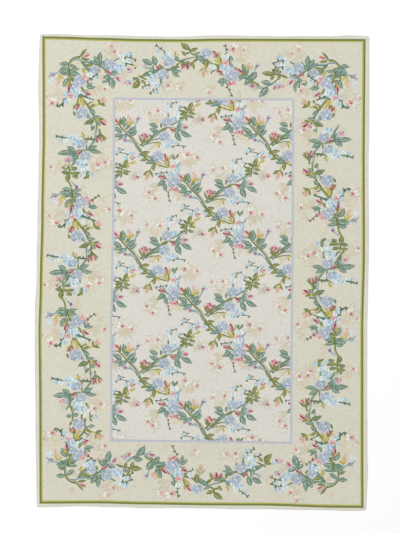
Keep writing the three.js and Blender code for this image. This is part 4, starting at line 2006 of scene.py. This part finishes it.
@dataclass
class EdgeTurns:
    """The turns of weft round the edge, one beside another all round the rug."""

    rings: Rings
    wool: bpy.types.Material
    pitch: float = 0.0036
    outward: float = 0.0012
    along: float = 0.0020
    upward: float = 0.0017
    lean: float = 0.42
    spread: float = 0.10
    inset: float = 0.0008
    clearance: float = 0.00005
    segments: int = 6
    layers: int = 4
    seed: int = 11

    def build(self) -> bpy.types.Object:
        """Lays the turns along the edge with a node tree, and keeps the outcome as a plain mesh.

        Returns:
            The turns.
        """
        path = self.rings.lower[-1].copy()
        path[:, :2] *= 1 - self.inset / np.abs(path[:, :2]).max(axis=0)
        path[:, 2] = self.upward + self.clearance
        count = len(path)
        around = [(step, (step + 1) % count) for step in range(count)]
        mesh = bpy.data.meshes.new("edge_path")
        mesh.from_pydata([tuple(point) for point in path], around, [])
        guide = linked("edge_path", mesh)
        self.add_modifier(guide)
        evaluated = guide.evaluated_get(bpy.context.evaluated_depsgraph_get())
        finished = bpy.data.meshes.new_from_object(evaluated)
        finished.name = "edge_turns"
        guide.modifiers.clear()
        bpy.data.objects.remove(guide)
        return linked("edge_turns", finished)

    def add_modifier(self, guide: bpy.types.Object) -> None:
        """Adds the node tree to the path and sets its sizes.

        Args:
            guide: The object with the path.
        """
        tree = self.tree()
        modifier = guide.modifiers.new("edge_turns", "NODES")
        modifier.node_group = tree
        values = {**self.sizes(), "Wool": self.wool}
        for item in tree.interface.items_tree:
            if item.in_out == "INPUT" and item.name in values:
                modifier[item.identifier] = values[item.name]

    def sizes(self) -> dict[str, float]:
        """Returns the sizes that the node tree takes, by the names of its inputs."""
        named = ("Pitch", "Outward", "Along", "Upward", "Lean", "Spread")
        return {name: getattr(self, name.lower()) for name in named}

    def tree(self) -> bpy.types.NodeTree:
        """Makes the node tree that sets a leaning, rounded turn at every step of a path.

        Returns:
            The tree.
        """
        inputs = {"Geometry": "NodeSocketGeometry", **self.sizes(), "Wool": "NodeSocketMaterial"}
        bench = Bench.group("edge_turns", "GeometryNodeTree", inputs, {"Geometry": "NodeSocketGeometry"})
        given = bench.node("NodeGroupInput").outputs
        curve = bench.node("GeometryNodeMeshToCurve", {"Mesh": given["Geometry"]})
        spacing = {"Curve": curve.outputs[0], "Length": given["Pitch"]}
        steps = bench.node("GeometryNodeCurveToPoints", spacing, mode="LENGTH")
        halves = {"X": given["Outward"], "Y": given["Along"], "Z": given["Upward"]}
        half = bench.node("ShaderNodeCombineXYZ", halves)
        detail = {"Segments": self.segments, "Rings": self.layers, "Radius": 1.0}
        ball = bench.node("GeometryNodeMeshUVSphere", detail)
        shape = {"Geometry": ball.outputs["Mesh"], "Scale": half.outputs[0]}
        turn = bench.node("GeometryNodeTransform", shape)
        heading = bench.node(
            "FunctionNodeAlignRotationToVector",
            {"Vector": steps.outputs["Tangent"]},
            axis="Y",
            pivot_axis="Z",
        )
        tilt = bench.node("ShaderNodeCombineXYZ", {"X": given["Lean"]})
        leaning = bench.node(
            "FunctionNodeRotateRotation",
            {"Rotation": heading.outputs[0], "Rotate By": tilt.outputs[0]},
            rotation_space="LOCAL",
        )
        least = bench.math("SUBTRACT", 1.0, given["Spread"])
        size = bench.node("FunctionNodeRandomValue", {"Seed": self.seed}, data_type="FLOAT")
        bench.tree.links.new(least, size.inputs[2])
        size.inputs[3].default_value = 1.0
        placed = bench.node(
            "GeometryNodeInstanceOnPoints",
            {
                "Points": steps.outputs["Points"],
                "Instance": turn.outputs[0],
                "Rotation": leaning.outputs[0],
                "Scale": size.outputs[1],
            },
        )
        real = bench.node("GeometryNodeRealizeInstances", {0: placed.outputs[0]})
        smooth = bench.node("GeometryNodeSetShadeSmooth", {"Geometry": real.outputs[0]})
        dress = {"Geometry": smooth.outputs[0], "Material": given["Wool"]}
        dressed = bench.node("GeometryNodeSetMaterial", dress)
        bench.node("NodeGroupOutput", {"Geometry": dressed.outputs[0]})
        return bench.tree


@dataclass
class Studio:
    """A pale floor, soft light from above and a camera that looks straight down."""

    photo_height: int = 534
    middle: Point = (-2.0, 5.35)
    lens: float = 100.0
    sensor: float = 36.0
    clip_end: float = 100.0
    floor_reach: float = 12.0
    floor_drop: float = 0.0003
    floor_tone: float = 0.95
    floor_roughness: float = 0.9
    floor_specular: float = 0.1
    sky: float = 0.74
    lamp_size: float = 7.0
    lamp_place: tuple[float, float, float] = (-3.0, 2.7, 7.5)
    lamp_power: float = 360.0

    def build(self) -> bpy.types.Object:
        """Sets up the floor, the lights and the camera.

        Returns:
            The floor.
        """
        scene = bpy.context.scene
        scene.view_settings.view_transform = "Standard"
        scene.world = bpy.data.worlds.new("studio")
        scene.world.use_nodes = True
        background = scene.world.node_tree.nodes["Background"]
        background.inputs["Color"].default_value = (1.0, 1.0, 1.0, 1.0)
        background.inputs["Strength"].default_value = self.sky
        self.add_lamp()
        self.add_camera()
        return self.floor()

    def add_lamp(self) -> None:
        """Hangs one large soft lamp above the rug."""
        light = bpy.data.lights.new("soft_lamp", "AREA")
        light.energy = self.lamp_power
        light.size = self.lamp_size
        lamp = linked("soft_lamp", light)
        lamp.location = self.lamp_place
        lamp.rotation_euler = (-Vector(self.lamp_place)).to_track_quat("-Z", "Y").to_euler()
        lamp.visible_camera = False

    def add_camera(self) -> None:
        """Puts the camera where its picture is as high as the photograph at the rug's scale."""
        data = bpy.data.cameras.new("camera")
        data.lens = self.lens
        data.sensor_width = self.sensor
        data.clip_end = self.clip_end
        camera = linked("camera", data)
        height = self.photo_height * SQUARE * self.lens / self.sensor
        camera.location = (self.middle[0] * SQUARE, self.middle[1] * SQUARE, height)
        bpy.context.scene.camera = camera

    def floor(self) -> bpy.types.Object:
        """Makes the floor.

        Returns:
            The floor.
        """
        reach = self.floor_reach
        corners = [(-reach, -reach), (reach, -reach), (reach, reach), (-reach, reach)]
        mesh = bpy.data.meshes.new("floor")
        mesh.from_pydata([(x, y, -self.floor_drop) for x, y in corners], [], [(0, 1, 2, 3)])
        material = bpy.data.materials.new("pale_floor")
        material.use_nodes = True
        shader = material.node_tree.nodes["Principled BSDF"]
        shader.inputs["Base Color"].default_value = (self.floor_tone, self.floor_tone, self.floor_tone, 1.0)
        shader.inputs["Roughness"].default_value = self.floor_roughness
        shader.inputs["Specular IOR Level"].default_value = self.floor_specular
        mesh.materials.append(material)
        return linked("floor", mesh)


def main() -> None:
    """Builds the rug, its edge and the studio."""
    logging.basicConfig(level=logging.INFO, format="%(name)s: %(message)s")
    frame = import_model()
    groups = Weave().group(RIB), DyeTakeUp().group(), EdgeWear().group()
    rings = Rings.of(frame["nodes"]["rug"])
    rug = RugCloth(rings, RugDesign()).build()
    rug.data.materials.append(WoolFinish("woven_wool", *groups).material())
    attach(rug, "root")
    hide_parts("rug")
    LOG.info("cloth: %d faces", len(rug.data.polygons))
    edge_finish = WoolFinish("edge_wool", *groups, plain=Yarn.MARGIN, rib=EDGE_RIB, relief=EDGE_RELIEF)
    turns = EdgeTurns(rings, edge_finish.material()).build()
    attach(turns, "root")
    LOG.info("edge turns: %d faces", len(turns.data.polygons))
    Studio().build()
    LOG.info("studio is set")


if __name__ == "__main__":
    main()
